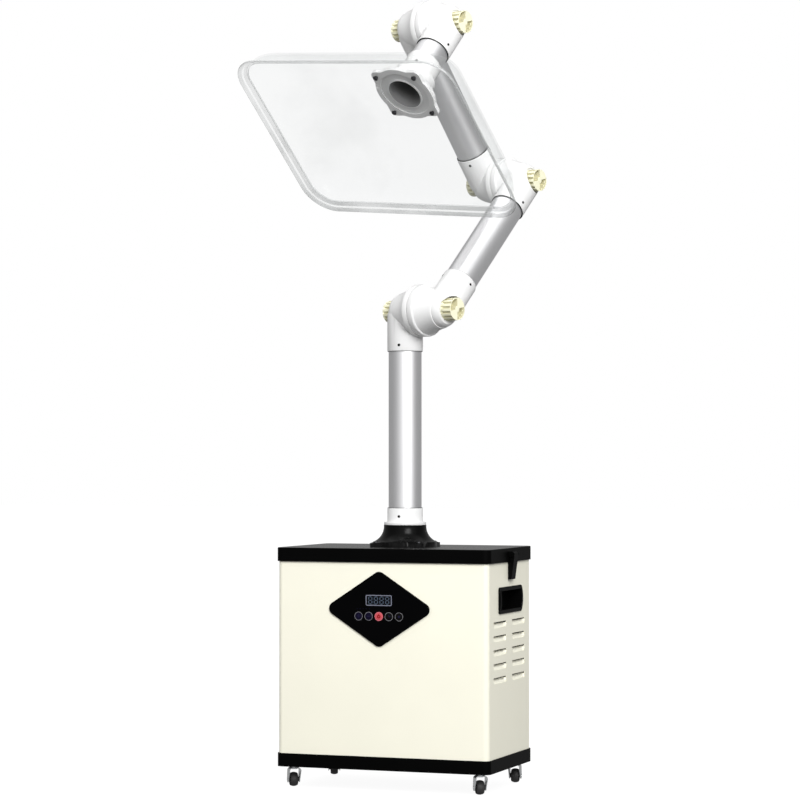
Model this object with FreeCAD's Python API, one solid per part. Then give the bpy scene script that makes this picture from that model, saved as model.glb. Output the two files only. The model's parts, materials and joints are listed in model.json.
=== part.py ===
# Mobile smoke extractor: a filter cabinet on casters, a three-joint suction arm and a clear hood.
# Millimetres, +Z up, origin on the floor under the column axis, front of the cabinet towards -Y.
import FreeCAD
import Part
import math
import os

from FreeCAD import Vector

# Cabinet
LID_WIDTH = 508.0
LID_DEPTH = 310.0
LID_HEIGHT = 31.0
LID_CORNER = 16.0
LID_WALL = 2.4
LID_EDGE_ROUND = 2.0
BODY_INSET = 4.0
BODY_HEIGHT = 431.0
BODY_WALL = 1.2
BODY_TUCK = 24.0
TRAY_INSET = 0.8
TRAY_HEIGHT = 30.0
TRAY_WALL = 2.0
SHEET_GAP = 0.2
GASKET_WIDTH = 6.0

# Casters
CASTER_HEIGHT = 48.0
CASTER_INSET_X = 32.0
CASTER_INSET_Y = 35.0
CASTER_NECK_R = 6.0
CASTER_NECK_HEIGHT = 4.5
CASTER_STEM_R = 4.0
CASTER_RIVET_R = 6.5
CASTER_RIVET_HEIGHT = 1.5
CASTER_TRAIL = 9.0
WHEEL_R = 16.0
WHEEL_WIDTH = 17.0
WHEEL_TREAD = 2.5
WHEEL_HUB_R = 5.0
AXLE_R = 2.5
FORK_WIDTH = 28.0
FORK_WALL = 2.0
FORK_ROUND = 7.0
FORK_REACH = 12.0
FORK_ARM_R = 7.5

# Control panel on the front; the rhombus is measured before its corners are rounded
PANEL_WIDTH = 262.8
PANEL_HEIGHT = 171.9
PANEL_CORNER = 15.0
PANEL_THICK = 3.0
PANEL_OFFSET_X = -5.0
PANEL_BELOW_LID = 103.5
DISPLAY_WIDTH = 62.0
DISPLAY_HEIGHT = 24.0
DISPLAY_CORNER = 2.5
DISPLAY_RISE = 19.5
DISPLAY_PROUD = 0.4
KEY_COUNT = 5
KEY_R = 9.9
KEY_PITCH = 24.0
KEY_DROP = 16.0
KEY_PROUD = 0.5
BOARD_WIDTH = 150.0
BOARD_HEIGHT = 64.0
BOARD_THICK = 8.0

# Latches, handles and louvres on the two sides
LATCH_WIDTH = 28.0
LATCH_PIVOT_DROP = 14.0
LATCH_PIVOT_OUT = 7.0
LATCH_PIN_R = 2.5
LATCH_LENGTH = 56.0
LATCH_EYE_R = 5.5
LATCH_TIP_THICK = 8.0
LATCH_WALL = 2.5
LATCH_GAP = 0.8
LATCH_EAR = 2.5
LATCH_EAR_R = 6.0
LATCH_BACK = 1.0
CATCH_WIDTH = 18.0
CATCH_HEIGHT = 9.0
CATCH_PROUD = 3.5
HOOK_RISE = 5.0
HOOK_HEIGHT = 4.0
HANDLE_WIDTH = 160.0
HANDLE_HEIGHT = 59.0
HANDLE_LIP = 6.0
HANDLE_PROUD = 6.0
HANDLE_BOW_R = 126.0
HANDLE_DEPTH = 30.0
HANDLE_WALL = 2.0
HANDLE_CORNER = 6.0
HANDLE_BELOW_LID = 84.3
LOUVRE_ROWS = 5
LOUVRE_PITCH = 30.7
LOUVRE_LENGTH = 98.0
LOUVRE_GAP = 33.0
LOUVRE_R = 13.0
LOUVRE_PROUD = 5.5
LOUVRE_SLOT = 4.5
LOUVRE_BELOW_LID = 134.5
LOUVRE_SHIFT = -3.0

# Rear panel
REAR_SIDE_MARGIN = 30.0
REAR_END_MARGIN = 25.5
REAR_LAP = 12.0
REAR_THICK = 1.5
REAR_SLOTS = 9
REAR_SLOT_LENGTH = 130.0
REAR_SLOT_WIDTH = 5.0
REAR_SLOT_PITCH = 14.0
INLET_WIDTH = 48.0
INLET_HEIGHT = 28.0
INLET_DEPTH = 24.0
INLET_MARGIN = 70.0
INLET_RISE = 50.0
INLET_FLANGE = 3.0
INLET_WALL = 2.5
PIN_LENGTH = 14.0
PIN_WIDTH = 2.0
PIN_HEIGHT = 5.0
PIN_SPREAD = 7.0

# Filters and blower inside the cabinet
SHELF_BELOW_LID = 140.0
SHELF_THICK = 2.0
SHELF_PORT_LAP = 11.0
FILTER_HANDLE_GAP = 12.0
FILTER_BOARD_GAP = 8.0
MAIN_FILTER_HEIGHT = 70.0
PRE_FILTER_HEIGHT = 25.0
FILTER_FRAME = 12.0
FILTER_MEDIA_RECESS = 4.0
BLOWER_SIDE_GAP = 27.8
BLOWER_HEIGHT = 88.0
BLOWER_WALL = 2.5
BLOWER_OUTLET_WIDTH = 120.0
IMPELLER_GAP = 19.5
IMPELLER_HEIGHT = 58.0
IMPELLER_EYE_SHARE = 0.64
IMPELLER_BLADES = 9
IMPELLER_PLATE = 3.0
IMPELLER_HUB_R = 18.0
IMPELLER_LIFT = 8.0
BLADE_ANGLE = -35.0
MOTOR_R = 55.0
MOTOR_HEIGHT = 82.0
MOTOR_CHAMFER = 3.0
SHAFT_R = 6.0

# Suction arm
TUBE_R = 37.5
TUBE_WALL = 1.5
SOCKET_R = 40.5
SOCKET_REACH = 91.0
TUBE_SEAT = 52.0
AIR_BORE_R = 35.0
FIT_GAP = 0.06
SLIP_GAP = 0.15
PIVOT_RISE = 535.0
ARM_OFFSET = 110.0
LINK_LENGTH = 430.0
ARM_YAW = -21.0
MIDDLE_ANGLE = 43.5
UPPER_ANGLE = -38.4
HOOD_ANGLE = 221.4
RIM_R = 59.5
RIM_WIDTH = 15.0
RIM_STEP = 2.0
BELL_R = 55.5
BELL_MIDDLE_R = 47.5
BELL_MIDDLE_X = 18.0
BELL_START_R = 42.3
BELL_START_X = -2.0
ELBOW_R = 43.5
ELBOW_FLAT = 24.0
SHELL_WALL = 3.5
KNOB_SEAT = 17.0
KNOB_POCKET_R = 29.5
HUB_R = 11.0
BOLT_R = 5.0
RING_THICK = 1.5
RING_LAND = 1.5
FACE_GAP = 0.2

# Clamp knobs
KNOB_R = 25.5
KNOB_HEIGHT = 29.0
KNOB_EDGE = 1.5
KNOB_FLUTES = 14
KNOB_FLUTE_R = 3.0
KNOB_POCKETS = 3
KNOB_WEB = 6.0
KNOB_WEB_ANGLE = 25.0
KNOB_RIM = 3.5
KNOB_HUB_R = 8.0
KNOB_POCKET_DEPTH = 10.0
KNOB_BORE_DEPTH = 16.0

# Flange with four corner lugs, used under the column and on the hood
FLANGE_SIDE = 130.0
FLANGE_CORNER = 13.0
FLANGE_SWELL_R = 69.0
FLANGE_CURVE_SHARE = 0.27
FLANGE_SLAB = 9.0
FLANGE_HEIGHT = 49.0
FLANGE_NECK_R = 48.5
FLANGE_TOE_R = 88.0
SPIGOT_R = 39.5
SPIGOT_LENGTH = 28.0
SCREW_R = 3.0
SCREW_HEAD_R = 5.0
SCREW_HEAD_HEIGHT = 3.5
SCREW_INSET = 13.0
LID_SCREW_LENGTH = 12.0
COLLAR_RIM_R = 48.0
COLLAR_RIM_HEIGHT = 7.0
COLLAR_HEIGHT = 38.5
HOOD_COLLAR_HEIGHT = 52.0

# Hood
HOOD_LENGTH = 581.0
HOOD_WIDTH = 457.0
HOOD_DEPTH = 151.0
HOOD_CORNER = 70.0
HOOD_WALL = 4.0
HOOD_LIP = 14.0
HOOD_TURN_ANGLE = -7.4
HOOD_DROP = 234.0
CROWN_LENGTH = 325.0
CROWN_WIDTH = 176.0
# Share of the hood's depth, and share of the way in from the lip to the crown
HOOD_PROFILE = [(0.0, 0.0), (0.2, 0.024), (0.4, 0.174), (0.56, 0.364), (0.78, 0.632), (0.93, 0.854), (1.0, 1.0)]

# Heights and places that follow from the sizes above
TRAY_Z = CASTER_HEIGHT
TRAY_TOP = TRAY_Z + TRAY_HEIGHT
LID_Z = TRAY_TOP + BODY_HEIGHT
LID_TOP = LID_Z + LID_HEIGHT
BODY_WIDTH = LID_WIDTH - 2 * BODY_INSET
BODY_DEPTH = LID_DEPTH - 2 * BODY_INSET
BODY_CORNER = LID_CORNER - BODY_INSET
BODY_Z = TRAY_Z + TRAY_WALL
BODY_TOP = LID_Z + BODY_TUCK
SIDE_X = BODY_WIDTH / 2
FRONT_Y = -BODY_DEPTH / 2
INNER_WIDTH = BODY_WIDTH - 2 * BODY_WALL
INNER_DEPTH = BODY_DEPTH - 2 * BODY_WALL
TRAY_WIDTH = LID_WIDTH - 2 * TRAY_INSET
TRAY_DEPTH = LID_DEPTH - 2 * TRAY_INSET
CASTER_X = LID_WIDTH / 2 - CASTER_INSET_X
CASTER_Y = LID_DEPTH / 2 - CASTER_INSET_Y
PANEL_Z = LID_Z - PANEL_BELOW_LID
HANDLE_Z = LID_Z - HANDLE_BELOW_LID
REAR_Z = (TRAY_TOP + LID_Z) / 2
REAR_WIDTH = BODY_WIDTH - 2 * REAR_SIDE_MARGIN
REAR_HEIGHT = BODY_HEIGHT - 2 * REAR_END_MARGIN
INLET_X = REAR_WIDTH / 2 - INLET_MARGIN
FILTER_WIDTH = BODY_WIDTH - 2 * (HANDLE_DEPTH + FILTER_HANDLE_GAP)
FILTER_DEPTH = BODY_DEPTH - 2 * (BOARD_THICK + FILTER_BOARD_GAP)
BLOWER_R = INNER_DEPTH / 2 - BLOWER_SIDE_GAP
IMPELLER_R = BLOWER_R - BLOWER_WALL - IMPELLER_GAP
IMPELLER_EYE_R = IMPELLER_R * IMPELLER_EYE_SHARE
SHELF_PORT_R = IMPELLER_EYE_R + SHELF_PORT_LAP
SHELF_Z = LID_Z - SHELF_BELOW_LID
SHELF_TOP = SHELF_Z + SHELF_THICK
BLOWER_Z = SHELF_Z - BLOWER_HEIGHT
IMPELLER_Z = BLOWER_Z + BLOWER_WALL + IMPELLER_LIFT
COLUMN_Z = LID_TOP + FLANGE_HEIGHT
PIVOT_Z = LID_TOP + PIVOT_RISE
FACE_X = (ARM_OFFSET - RING_THICK) / 2 - FACE_GAP
FORK_TOP = TRAY_Z - CASTER_NECK_HEIGHT - FACE_GAP
# Place and heading of each caster
CASTERS = {
    "front_left": (-CASTER_X, -CASTER_Y, 34.0),
    "front_right": (CASTER_X, -CASTER_Y, 32.0),
    "rear_left": (-CASTER_X, CASTER_Y, 20.0),
    "rear_right": (CASTER_X, CASTER_Y, 8.0),
}
X_AXIS = Vector(1, 0, 0)
Y_AXIS = Vector(0, 1, 0)
Z_AXIS = Vector(0, 0, 1)
ORIGIN = Vector(0, 0, 0)
PAST = 1.0


# Shared shape helpers
def box(x0, x1, y0, y1, z0, z1):
    return Part.makeBox(x1 - x0, y1 - y0, z1 - z0, Vector(x0, y0, z0))


def cylinder(radius, z0, z1, x=0.0, y=0.0):
    return Part.makeCylinder(radius, z1 - z0, Vector(x, y, z0))


def cylinder_x(radius, x0, x1, y=0.0, z=0.0):
    return Part.makeCylinder(radius, x1 - x0, Vector(x0, y, z), X_AXIS)


def cylinder_y(radius, y0, y1, x=0.0, z=0.0):
    return Part.makeCylinder(radius, y1 - y0, Vector(x, y0, z), Y_AXIS)


def rounded_wire(width, depth, radius, z):
    """A rounded rectangle about the Z axis, as four lines and four arcs."""
    w = width / 2
    d = depth / 2
    s = radius * (1 - math.sqrt(0.5))
    corners = [
        ((w - radius, -d), (w - s, -d + s), (w, -d + radius)),
        ((w, d - radius), (w - s, d - s), (w - radius, d)),
        ((-w + radius, d), (-w + s, d - s), (-w, d - radius)),
        ((-w, -d + radius), (-w + s, -d + s), (-w + radius, -d)),
    ]
    edges = []
    last = Vector(*corners[-1][2], z)
    for points in corners:
        first, middle, end = [Vector(x, y, z) for x, y in points]
        edges.append(Part.LineSegment(last, first).toShape())
        edges.append(Part.Arc(first, middle, end).toShape())
        last = end
    return Part.Wire(edges)


def rounded_prism(width, depth, radius, z0, z1):
    return Part.Face(rounded_wire(width, depth, radius, z0)).extrude(Vector(0, 0, z1 - z0))


def revolved(points, axis):
    """Turns a closed outline about an axis through the origin; a pair of points is an arc's middle and end."""
    edges = []
    last = points[0]
    for point in points[1:] + [points[0]]:
        if isinstance(point, tuple):
            middle, end = point
            edges.append(Part.Arc(last, middle, end).toShape())
            last = end
        else:
            edges.append(Part.LineSegment(last, point).toShape())
            last = point
    return Part.Face(Part.Wire(edges)).revolve(ORIGIN, axis, 360)


def frame(origin, x_dir, z_dir):
    """Placement whose x and z axes lie along the given directions."""
    y_dir = z_dir.cross(x_dir)
    matrix = FreeCAD.Matrix(
        x_dir.x, y_dir.x, z_dir.x, origin.x,
        x_dir.y, y_dir.y, z_dir.y, origin.y,
        x_dir.z, y_dir.z, z_dir.z, origin.z,
        0, 0, 0, 1)
    return FreeCAD.Placement(matrix)


def placed(shape, placement):
    moved = shape.copy()
    moved.Placement = placement.multiply(moved.Placement)
    return moved


def turned(shape, degrees, axis=Z_AXIS, centre=ORIGIN):
    moved = shape.copy()
    moved.rotate(centre, axis, degrees)
    return moved


def shifted(shape, x=0.0, y=0.0, z=0.0):
    moved = shape.copy()
    moved.translate(Vector(x, y, z))
    return moved


def save(name, *shapes):
    """Writes one node; several shapes become one group of separate solids."""
    shape = shapes[0] if len(shapes) == 1 else Part.makeCompound(list(shapes))
    assert shape.isValid(), name
    shape.exportStep("parts/" + name + ".step")


# Cabinet
def base_tray():
    outer = rounded_prism(TRAY_WIDTH, TRAY_DEPTH, LID_CORNER - TRAY_INSET, TRAY_Z, TRAY_TOP)
    room = rounded_prism(BODY_WIDTH + 2 * SHEET_GAP, BODY_DEPTH + 2 * SHEET_GAP,
                         BODY_CORNER + SHEET_GAP, BODY_Z, TRAY_TOP + PAST)
    stems = [cylinder(CASTER_STEM_R, TRAY_Z - PAST, BODY_Z + PAST, x, y) for x, y, _ in CASTERS.values()]
    return outer.cut([room] + stems)


def louvre(radius):
    """The lower half of a capsule lying along Y, which bulges through the +X side of the cabinet."""
    half = LOUVRE_LENGTH / 2 - LOUVRE_R
    x = SIDE_X + LOUVRE_PROUD - LOUVRE_R
    bar = cylinder_y(radius, -half, half, x)
    ends = [Part.makeSphere(radius, Vector(x, y, 0)) for y in (-half, half)]
    upper = box(x - radius - PAST, x + radius + PAST, -LOUVRE_LENGTH, LOUVRE_LENGTH, 0, radius + PAST)
    return bar.fuse(ends).cut(upper).removeSplitter()


def louvre_places():
    """Offsets along Y and Z of the louvres of one side."""
    y = (LOUVRE_LENGTH + LOUVRE_GAP) / 2
    top = LID_Z - LOUVRE_BELOW_LID
    return [(s * y + LOUVRE_SHIFT, top - row * LOUVRE_PITCH) for row in range(LOUVRE_ROWS) for s in (-1, 1)]


def cabinet_shell():
    outer = rounded_prism(BODY_WIDTH, BODY_DEPTH, BODY_CORNER, BODY_Z, BODY_TOP)
    inner = rounded_prism(INNER_WIDTH, INNER_DEPTH, BODY_CORNER - BODY_WALL, BODY_Z - PAST, BODY_TOP + PAST)
    bulge = louvre(LOUVRE_R)
    hollow = louvre(LOUVRE_R - BODY_WALL)
    outside = box(SIDE_X - BODY_WALL / 2, SIDE_X + LOUVRE_R, -LOUVRE_LENGTH, LOUVRE_LENGTH, -LOUVRE_R, LOUVRE_R)
    bulge = bulge.common(outside)
    slot_half = LOUVRE_LENGTH / 2 - LOUVRE_SLOT
    slot = box(SIDE_X - LOUVRE_R, SIDE_X + PAST, -slot_half, slot_half, -BODY_WALL, LOUVRE_SLOT)
    bulges = []
    hollows = []
    for y, z in louvre_places():
        for angle in (0, 180):
            bulges.append(turned(shifted(bulge, y=y, z=z), angle))
            hollows.append(turned(shifted(hollow, y=y, z=z), angle))
            hollows.append(turned(shifted(slot, y=y, z=z), angle))
    shell = outer.cut(inner).fuse(bulges)
    grip = rounded_side_prism(HANDLE_WIDTH - 2 * HANDLE_LIP, HANDLE_HEIGHT - 2 * HANDLE_LIP,
                              HANDLE_CORNER / 2, SIDE_X - HANDLE_DEPTH, SIDE_X + PAST, HANDLE_Z)
    window = box(PANEL_OFFSET_X - BOARD_WIDTH / 2, PANEL_OFFSET_X + BOARD_WIDTH / 2,
                 FRONT_Y - PAST, FRONT_Y + BODY_WALL + PAST,
                 PANEL_Z - BOARD_HEIGHT / 2, PANEL_Z + BOARD_HEIGHT / 2)
    rear = box(-REAR_WIDTH / 2 + REAR_LAP, REAR_WIDTH / 2 - REAR_LAP,
               -FRONT_Y - BODY_WALL - PAST, -FRONT_Y + PAST,
               REAR_Z - REAR_HEIGHT / 2 + REAR_LAP, REAR_Z + REAR_HEIGHT / 2 - REAR_LAP)
    return shell.cut(hollows + [grip, turned(grip, 180), window, rear])


def rounded_side_prism(width, height, radius, x0, x1, z):
    """A rounded rectangle in the YZ plane, extruded along X."""
    prism = rounded_prism(height, width, radius, 0, x1 - x0)
    return shifted(turned(prism, 90, Y_AXIS), x=x0, z=z)


def rear_panel():
    """Cover on the back with a vent grille and a cut-out for the mains inlet."""
    plate = box(-REAR_WIDTH / 2, REAR_WIDTH / 2, -FRONT_Y, -FRONT_Y + REAR_THICK,
                REAR_Z - REAR_HEIGHT / 2, REAR_Z + REAR_HEIGHT / 2)
    cuts = []
    y0 = -FRONT_Y - PAST
    y1 = -FRONT_Y + REAR_THICK + PAST
    for row in range(REAR_SLOTS):
        z = REAR_Z + (row - (REAR_SLOTS - 1) / 2) * REAR_SLOT_PITCH
        for side in (-1, 1):
            x = side * (REAR_SLOT_LENGTH / 2 + REAR_SLOT_PITCH)
            cuts.append(box(x - REAR_SLOT_LENGTH / 2, x + REAR_SLOT_LENGTH / 2, y0, y1,
                            z - REAR_SLOT_WIDTH / 2, z + REAR_SLOT_WIDTH / 2))
    z = inlet_z()
    cuts.append(box(INLET_X - INLET_WIDTH / 2 + INLET_FLANGE, INLET_X + INLET_WIDTH / 2 - INLET_FLANGE, y0, y1,
                    z - INLET_HEIGHT / 2 + INLET_FLANGE, z + INLET_HEIGHT / 2 - INLET_FLANGE))
    return plate.cut(cuts)


def inlet_z():
    return REAR_Z - REAR_HEIGHT / 2 + INLET_RISE


def power_inlet():
    """Appliance inlet: a flanged socket with three blades, open to the back."""
    back = -FRONT_Y + REAR_THICK
    z = inlet_z()
    w = INLET_WIDTH / 2
    h = INLET_HEIGHT / 2
    skirt_w = w - INLET_FLANGE - SHEET_GAP
    skirt_h = h - INLET_FLANGE - SHEET_GAP
    flange = box(INLET_X - w, INLET_X + w, back, back + INLET_FLANGE, z - h, z + h)
    skirt = box(INLET_X - skirt_w, INLET_X + skirt_w, back - INLET_DEPTH, back, z - skirt_h, z + skirt_h)
    room = box(INLET_X - skirt_w + INLET_WALL, INLET_X + skirt_w - INLET_WALL,
               back - INLET_DEPTH + INLET_WALL, back + INLET_FLANGE + PAST,
               z - skirt_h + INLET_WALL, z + skirt_h - INLET_WALL)
    floor = back - INLET_DEPTH + INLET_WALL
    pins = []
    for x, dz in ((-PIN_SPREAD, -PIN_WIDTH), (PIN_SPREAD, -PIN_WIDTH), (0.0, PIN_WIDTH)):
        pins.append(box(INLET_X + x - PIN_WIDTH / 2, INLET_X + x + PIN_WIDTH / 2,
                        floor - PAST, floor + PIN_LENGTH, z + dz - PIN_HEIGHT / 2, z + dz + PIN_HEIGHT / 2))
    return flange.fuse(skirt).cut(room).fuse(pins)


def lid():
    outer = rounded_prism(LID_WIDTH, LID_DEPTH, LID_CORNER, LID_Z, LID_TOP)
    rim = [edge for edge in outer.Edges if abs(edge.BoundBox.ZMin - LID_TOP) < 0.01]
    outer = outer.makeFillet(LID_EDGE_ROUND, rim)
    room = rounded_prism(LID_WIDTH - 2 * LID_WALL, LID_DEPTH - 2 * LID_WALL, LID_CORNER - LID_WALL,
                         LID_Z - PAST, LID_TOP - LID_WALL)
    port = cylinder(SPIGOT_R + SLIP_GAP, LID_Z, LID_TOP + PAST)
    screws = [cylinder(SCREW_R + SLIP_GAP, LID_Z, LID_TOP + PAST, x, y) for x, y in screw_places()]
    return outer.cut([room, port] + screws)


def lid_gasket():
    """Foam strip between the top edge of the cabinet and the underside of the lid."""
    z1 = LID_TOP - LID_WALL
    outer = rounded_prism(BODY_WIDTH, BODY_DEPTH, BODY_CORNER, BODY_TOP, z1)
    inset = 2 * GASKET_WIDTH
    inner = rounded_prism(BODY_WIDTH - inset, BODY_DEPTH - inset, BODY_CORNER - GASKET_WIDTH,
                          BODY_TOP - PAST, z1 + PAST)
    return outer.cut(inner)


def side_handle():
    """Recessed grip cup on the +X side, with a bowed lip outside the sheet."""
    cup_w = HANDLE_WIDTH - 2 * HANDLE_LIP - 2 * SHEET_GAP
    cup_h = HANDLE_HEIGHT - 2 * HANDLE_LIP - 2 * SHEET_GAP
    corner = HANDLE_CORNER / 2
    lip = rounded_side_prism(HANDLE_WIDTH, HANDLE_HEIGHT, HANDLE_CORNER,
                             SIDE_X, SIDE_X + HANDLE_PROUD, HANDLE_Z)
    lip = lip.common(cylinder_y(HANDLE_BOW_R, -HANDLE_WIDTH, HANDLE_WIDTH,
                                SIDE_X + HANDLE_PROUD - HANDLE_BOW_R, HANDLE_Z))
    cup = rounded_side_prism(cup_w, cup_h, corner, SIDE_X - HANDLE_DEPTH, SIDE_X, HANDLE_Z)
    room = rounded_side_prism(cup_w - 2 * HANDLE_WALL, cup_h - 2 * HANDLE_WALL, corner / 2,
                              SIDE_X - HANDLE_DEPTH + HANDLE_WALL, SIDE_X + HANDLE_PROUD + PAST, HANDLE_Z)
    return lip.fuse(cup).cut(room)


# Latches
def latch_pivot():
    return LID_WIDTH / 2 + LATCH_PIVOT_OUT, LID_TOP - LATCH_PIVOT_DROP


def latch_bracket():
    """Two ears with pin bores on the lid's skirt, on the +X side."""
    x, z = latch_pivot()
    lid_x = LID_WIDTH / 2
    inner = LATCH_WIDTH / 2 + SHEET_GAP
    ears = []
    for y0 in (-inner - LATCH_EAR, inner):
        web = box(lid_x, x, y0, y0 + LATCH_EAR, z - LATCH_EAR_R, z + LATCH_EAR_R)
        ears.append(web.fuse(cylinder_y(LATCH_EAR_R, y0, y0 + LATCH_EAR, x, z)))
    outer = inner + LATCH_EAR
    back = box(lid_x, lid_x + LATCH_BACK, -outer, outer, z - LATCH_EAR_R, z + LATCH_EAR_R)
    bores = cylinder_y(LATCH_PIN_R + FIT_GAP, -outer - PAST, outer + PAST, x, z)
    return back.fuse(ears).removeSplitter().cut(bores)


def catch_z():
    """Underside of the catch that the lever's hook grips."""
    return latch_pivot()[1] - LATCH_LENGTH + HOOK_RISE + HOOK_HEIGHT + LATCH_GAP


def latch_lever():
    """Hollow wedge with moulded pins; a hook inside it grips the catch on the cabinet's side."""
    x, z = latch_pivot()
    w = LATCH_WIDTH / 2
    inside = SIDE_X + LATCH_GAP
    lid_side = LID_WIDTH / 2 + LATCH_BACK + LATCH_GAP
    tip_z = z - LATCH_LENGTH
    step_z = LID_Z - LATCH_GAP
    outline = [Vector(inside, -w, tip_z), Vector(inside + LATCH_TIP_THICK, -w, tip_z),
               Vector(x + LATCH_EYE_R, -w, z), Vector(lid_side, -w, z),
               Vector(lid_side, -w, step_z), Vector(inside, -w, step_z)]
    wedge = Part.Face(Part.makePolygon(outline + outline[:1])).extrude(Vector(0, 2 * w, 0))
    room_half = w - LATCH_WALL
    room_top = step_z - LATCH_WALL
    room_outline = [Vector(inside - PAST, -room_half, tip_z - PAST),
                    Vector(inside + LATCH_TIP_THICK - LATCH_WALL, -room_half, tip_z - PAST),
                    Vector(inside + LATCH_TIP_THICK - LATCH_WALL, -room_half, room_top),
                    Vector(inside - PAST, -room_half, room_top)]
    room = Part.Face(Part.makePolygon(room_outline + room_outline[:1])).extrude(Vector(0, 2 * room_half, 0))
    hook_z = tip_z + HOOK_RISE
    hook = box(inside, inside + LATCH_TIP_THICK, -w, w, hook_z, hook_z + HOOK_HEIGHT)
    pin_half = w + SHEET_GAP + LATCH_EAR
    eye = cylinder_y(LATCH_EYE_R, -w, w, x, z)
    pins = cylinder_y(LATCH_PIN_R, -pin_half, pin_half, x, z)
    return wedge.cut(room).fuse([hook, eye, pins]).removeSplitter()


def latch_catch():
    """Small ledge on the cabinet's side, inside the lever."""
    w = CATCH_WIDTH / 2
    return box(SIDE_X, SIDE_X + CATCH_PROUD, -w, w, catch_z(), catch_z() + CATCH_HEIGHT)


# Front panel
def rhombus_prism(width, height, radius, y0, y1, x, z):
    """Rounded rhombus in the XZ plane, extruded along Y."""
    points = [(width / 2, 0), (0, height / 2), (-width / 2, 0), (0, -height / 2)]
    corners = [Vector(px + x, y0, pz + z) for px, pz in points]
    solid = Part.Face(Part.makePolygon(corners + corners[:1])).extrude(Vector(0, y1 - y0, 0))
    edges = [edge for edge in solid.Edges if edge.BoundBox.YLength > abs(y1 - y0) / 2]
    return solid.makeFillet(radius, edges)


def front_box(width, height, x, z, y0, y1, radius):
    """Rounded rectangle in the XZ plane, extruded along Y."""
    prism = rounded_prism(width, height, radius, 0, y1 - y0)
    return shifted(turned(prism, 90, X_AXIS), x=x, y=y1, z=z)


def control_panel():
    plate = rhombus_prism(PANEL_WIDTH, PANEL_HEIGHT, PANEL_CORNER, FRONT_Y - PANEL_THICK, FRONT_Y,
                          PANEL_OFFSET_X, PANEL_Z)
    well = front_box(DISPLAY_WIDTH + 2 * SHEET_GAP, DISPLAY_HEIGHT + 2 * SHEET_GAP, PANEL_OFFSET_X,
                     PANEL_Z + DISPLAY_RISE, FRONT_Y - PANEL_THICK - PAST, FRONT_Y - PANEL_THICK / 2,
                     DISPLAY_CORNER)
    return plate.cut(well)


def display_window():
    face = FRONT_Y - PANEL_THICK
    return front_box(DISPLAY_WIDTH, DISPLAY_HEIGHT, PANEL_OFFSET_X, PANEL_Z + DISPLAY_RISE,
                     face - DISPLAY_PROUD, FRONT_Y - PANEL_THICK / 2, DISPLAY_CORNER)


def touch_keys():
    face = FRONT_Y - PANEL_THICK
    first = PANEL_OFFSET_X - (KEY_COUNT - 1) / 2 * KEY_PITCH
    return [cylinder_y(KEY_R, face - KEY_PROUD, face, first + n * KEY_PITCH, PANEL_Z - KEY_DROP)
            for n in range(KEY_COUNT)]


def control_board():
    """Circuit board behind the panel, inside the window of the sheet."""
    w = BOARD_WIDTH / 2 - SHEET_GAP
    h = BOARD_HEIGHT / 2 - SHEET_GAP
    return box(PANEL_OFFSET_X - w, PANEL_OFFSET_X + w, FRONT_Y, FRONT_Y + BOARD_THICK, PANEL_Z - h, PANEL_Z + h)


# Casters
def caster_stem():
    """Neck and stud that the fork turns on, riveted under the fork's bridge."""
    under = FORK_TOP - FORK_WALL - FACE_GAP
    rivet = cylinder(CASTER_RIVET_R, under - CASTER_RIVET_HEIGHT, under)
    neck = cylinder(CASTER_NECK_R, FORK_TOP + FACE_GAP, TRAY_Z)
    stud = cylinder(CASTER_STEM_R - SLIP_GAP, under, BODY_Z)
    return rivet.fuse([neck, stud]).removeSplitter()


def caster_fork():
    """Bent fork and its riveted axle; the wheel trails towards +Y before the caster is turned."""
    low = WHEEL_R - FORK_ARM_R - FORK_ROUND
    height = FORK_TOP - low
    middle = (FORK_TOP + low) / 2
    reach = CASTER_TRAIL + FORK_ARM_R
    outer = front_box(FORK_WIDTH, height, 0, middle, -reach, reach, FORK_ROUND)
    inner = front_box(FORK_WIDTH - 2 * FORK_WALL, height, 0, middle - FORK_WALL, -reach - PAST, reach + PAST,
                      FORK_ROUND - FORK_WALL)
    half = FORK_WIDTH / 2 + PAST
    outline = [Vector(-half, -FORK_REACH, FORK_TOP - FORK_ROUND), Vector(-half, -FORK_REACH, FORK_TOP),
               Vector(-half, FORK_REACH, FORK_TOP), Vector(-half, CASTER_TRAIL + FORK_ARM_R, WHEEL_R),
               Vector(-half, CASTER_TRAIL - FORK_ARM_R, WHEEL_R)]
    side = Part.Face(Part.makePolygon(outline + outline[:1])).extrude(Vector(2 * half, 0, 0))
    side = side.fuse(cylinder_x(FORK_ARM_R, -half, half, CASTER_TRAIL, WHEEL_R))
    axle = cylinder_x(AXLE_R, -half, half, CASTER_TRAIL, WHEEL_R)
    bore = cylinder(CASTER_STEM_R - SLIP_GAP + FIT_GAP, FORK_TOP - FORK_WALL - PAST, FORK_TOP + PAST)
    fork = outer.cut(inner).common(side).cut([bore, axle])
    return fork, axle


def caster_wheel():
    half = WHEEL_WIDTH / 2
    hub = FORK_WIDTH / 2 - FORK_WALL - FACE_GAP
    bore = AXLE_R + FIT_GAP
    shoulder = WHEEL_R - WHEEL_TREAD
    outline = [Vector(-hub, bore, 0), Vector(-hub, WHEEL_HUB_R, 0), Vector(-half, WHEEL_HUB_R, 0),
               Vector(-half, shoulder, 0), Vector(-half + WHEEL_TREAD, WHEEL_R, 0),
               Vector(half - WHEEL_TREAD, WHEEL_R, 0), Vector(half, shoulder, 0),
               Vector(half, WHEEL_HUB_R, 0), Vector(hub, WHEEL_HUB_R, 0), Vector(hub, bore, 0)]
    return shifted(revolved(outline, X_AXIS), y=CASTER_TRAIL, z=WHEEL_R)


def at_caster(shape, place):
    x, y, heading = place
    return shifted(turned(shape, heading), x=x, y=y)


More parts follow.
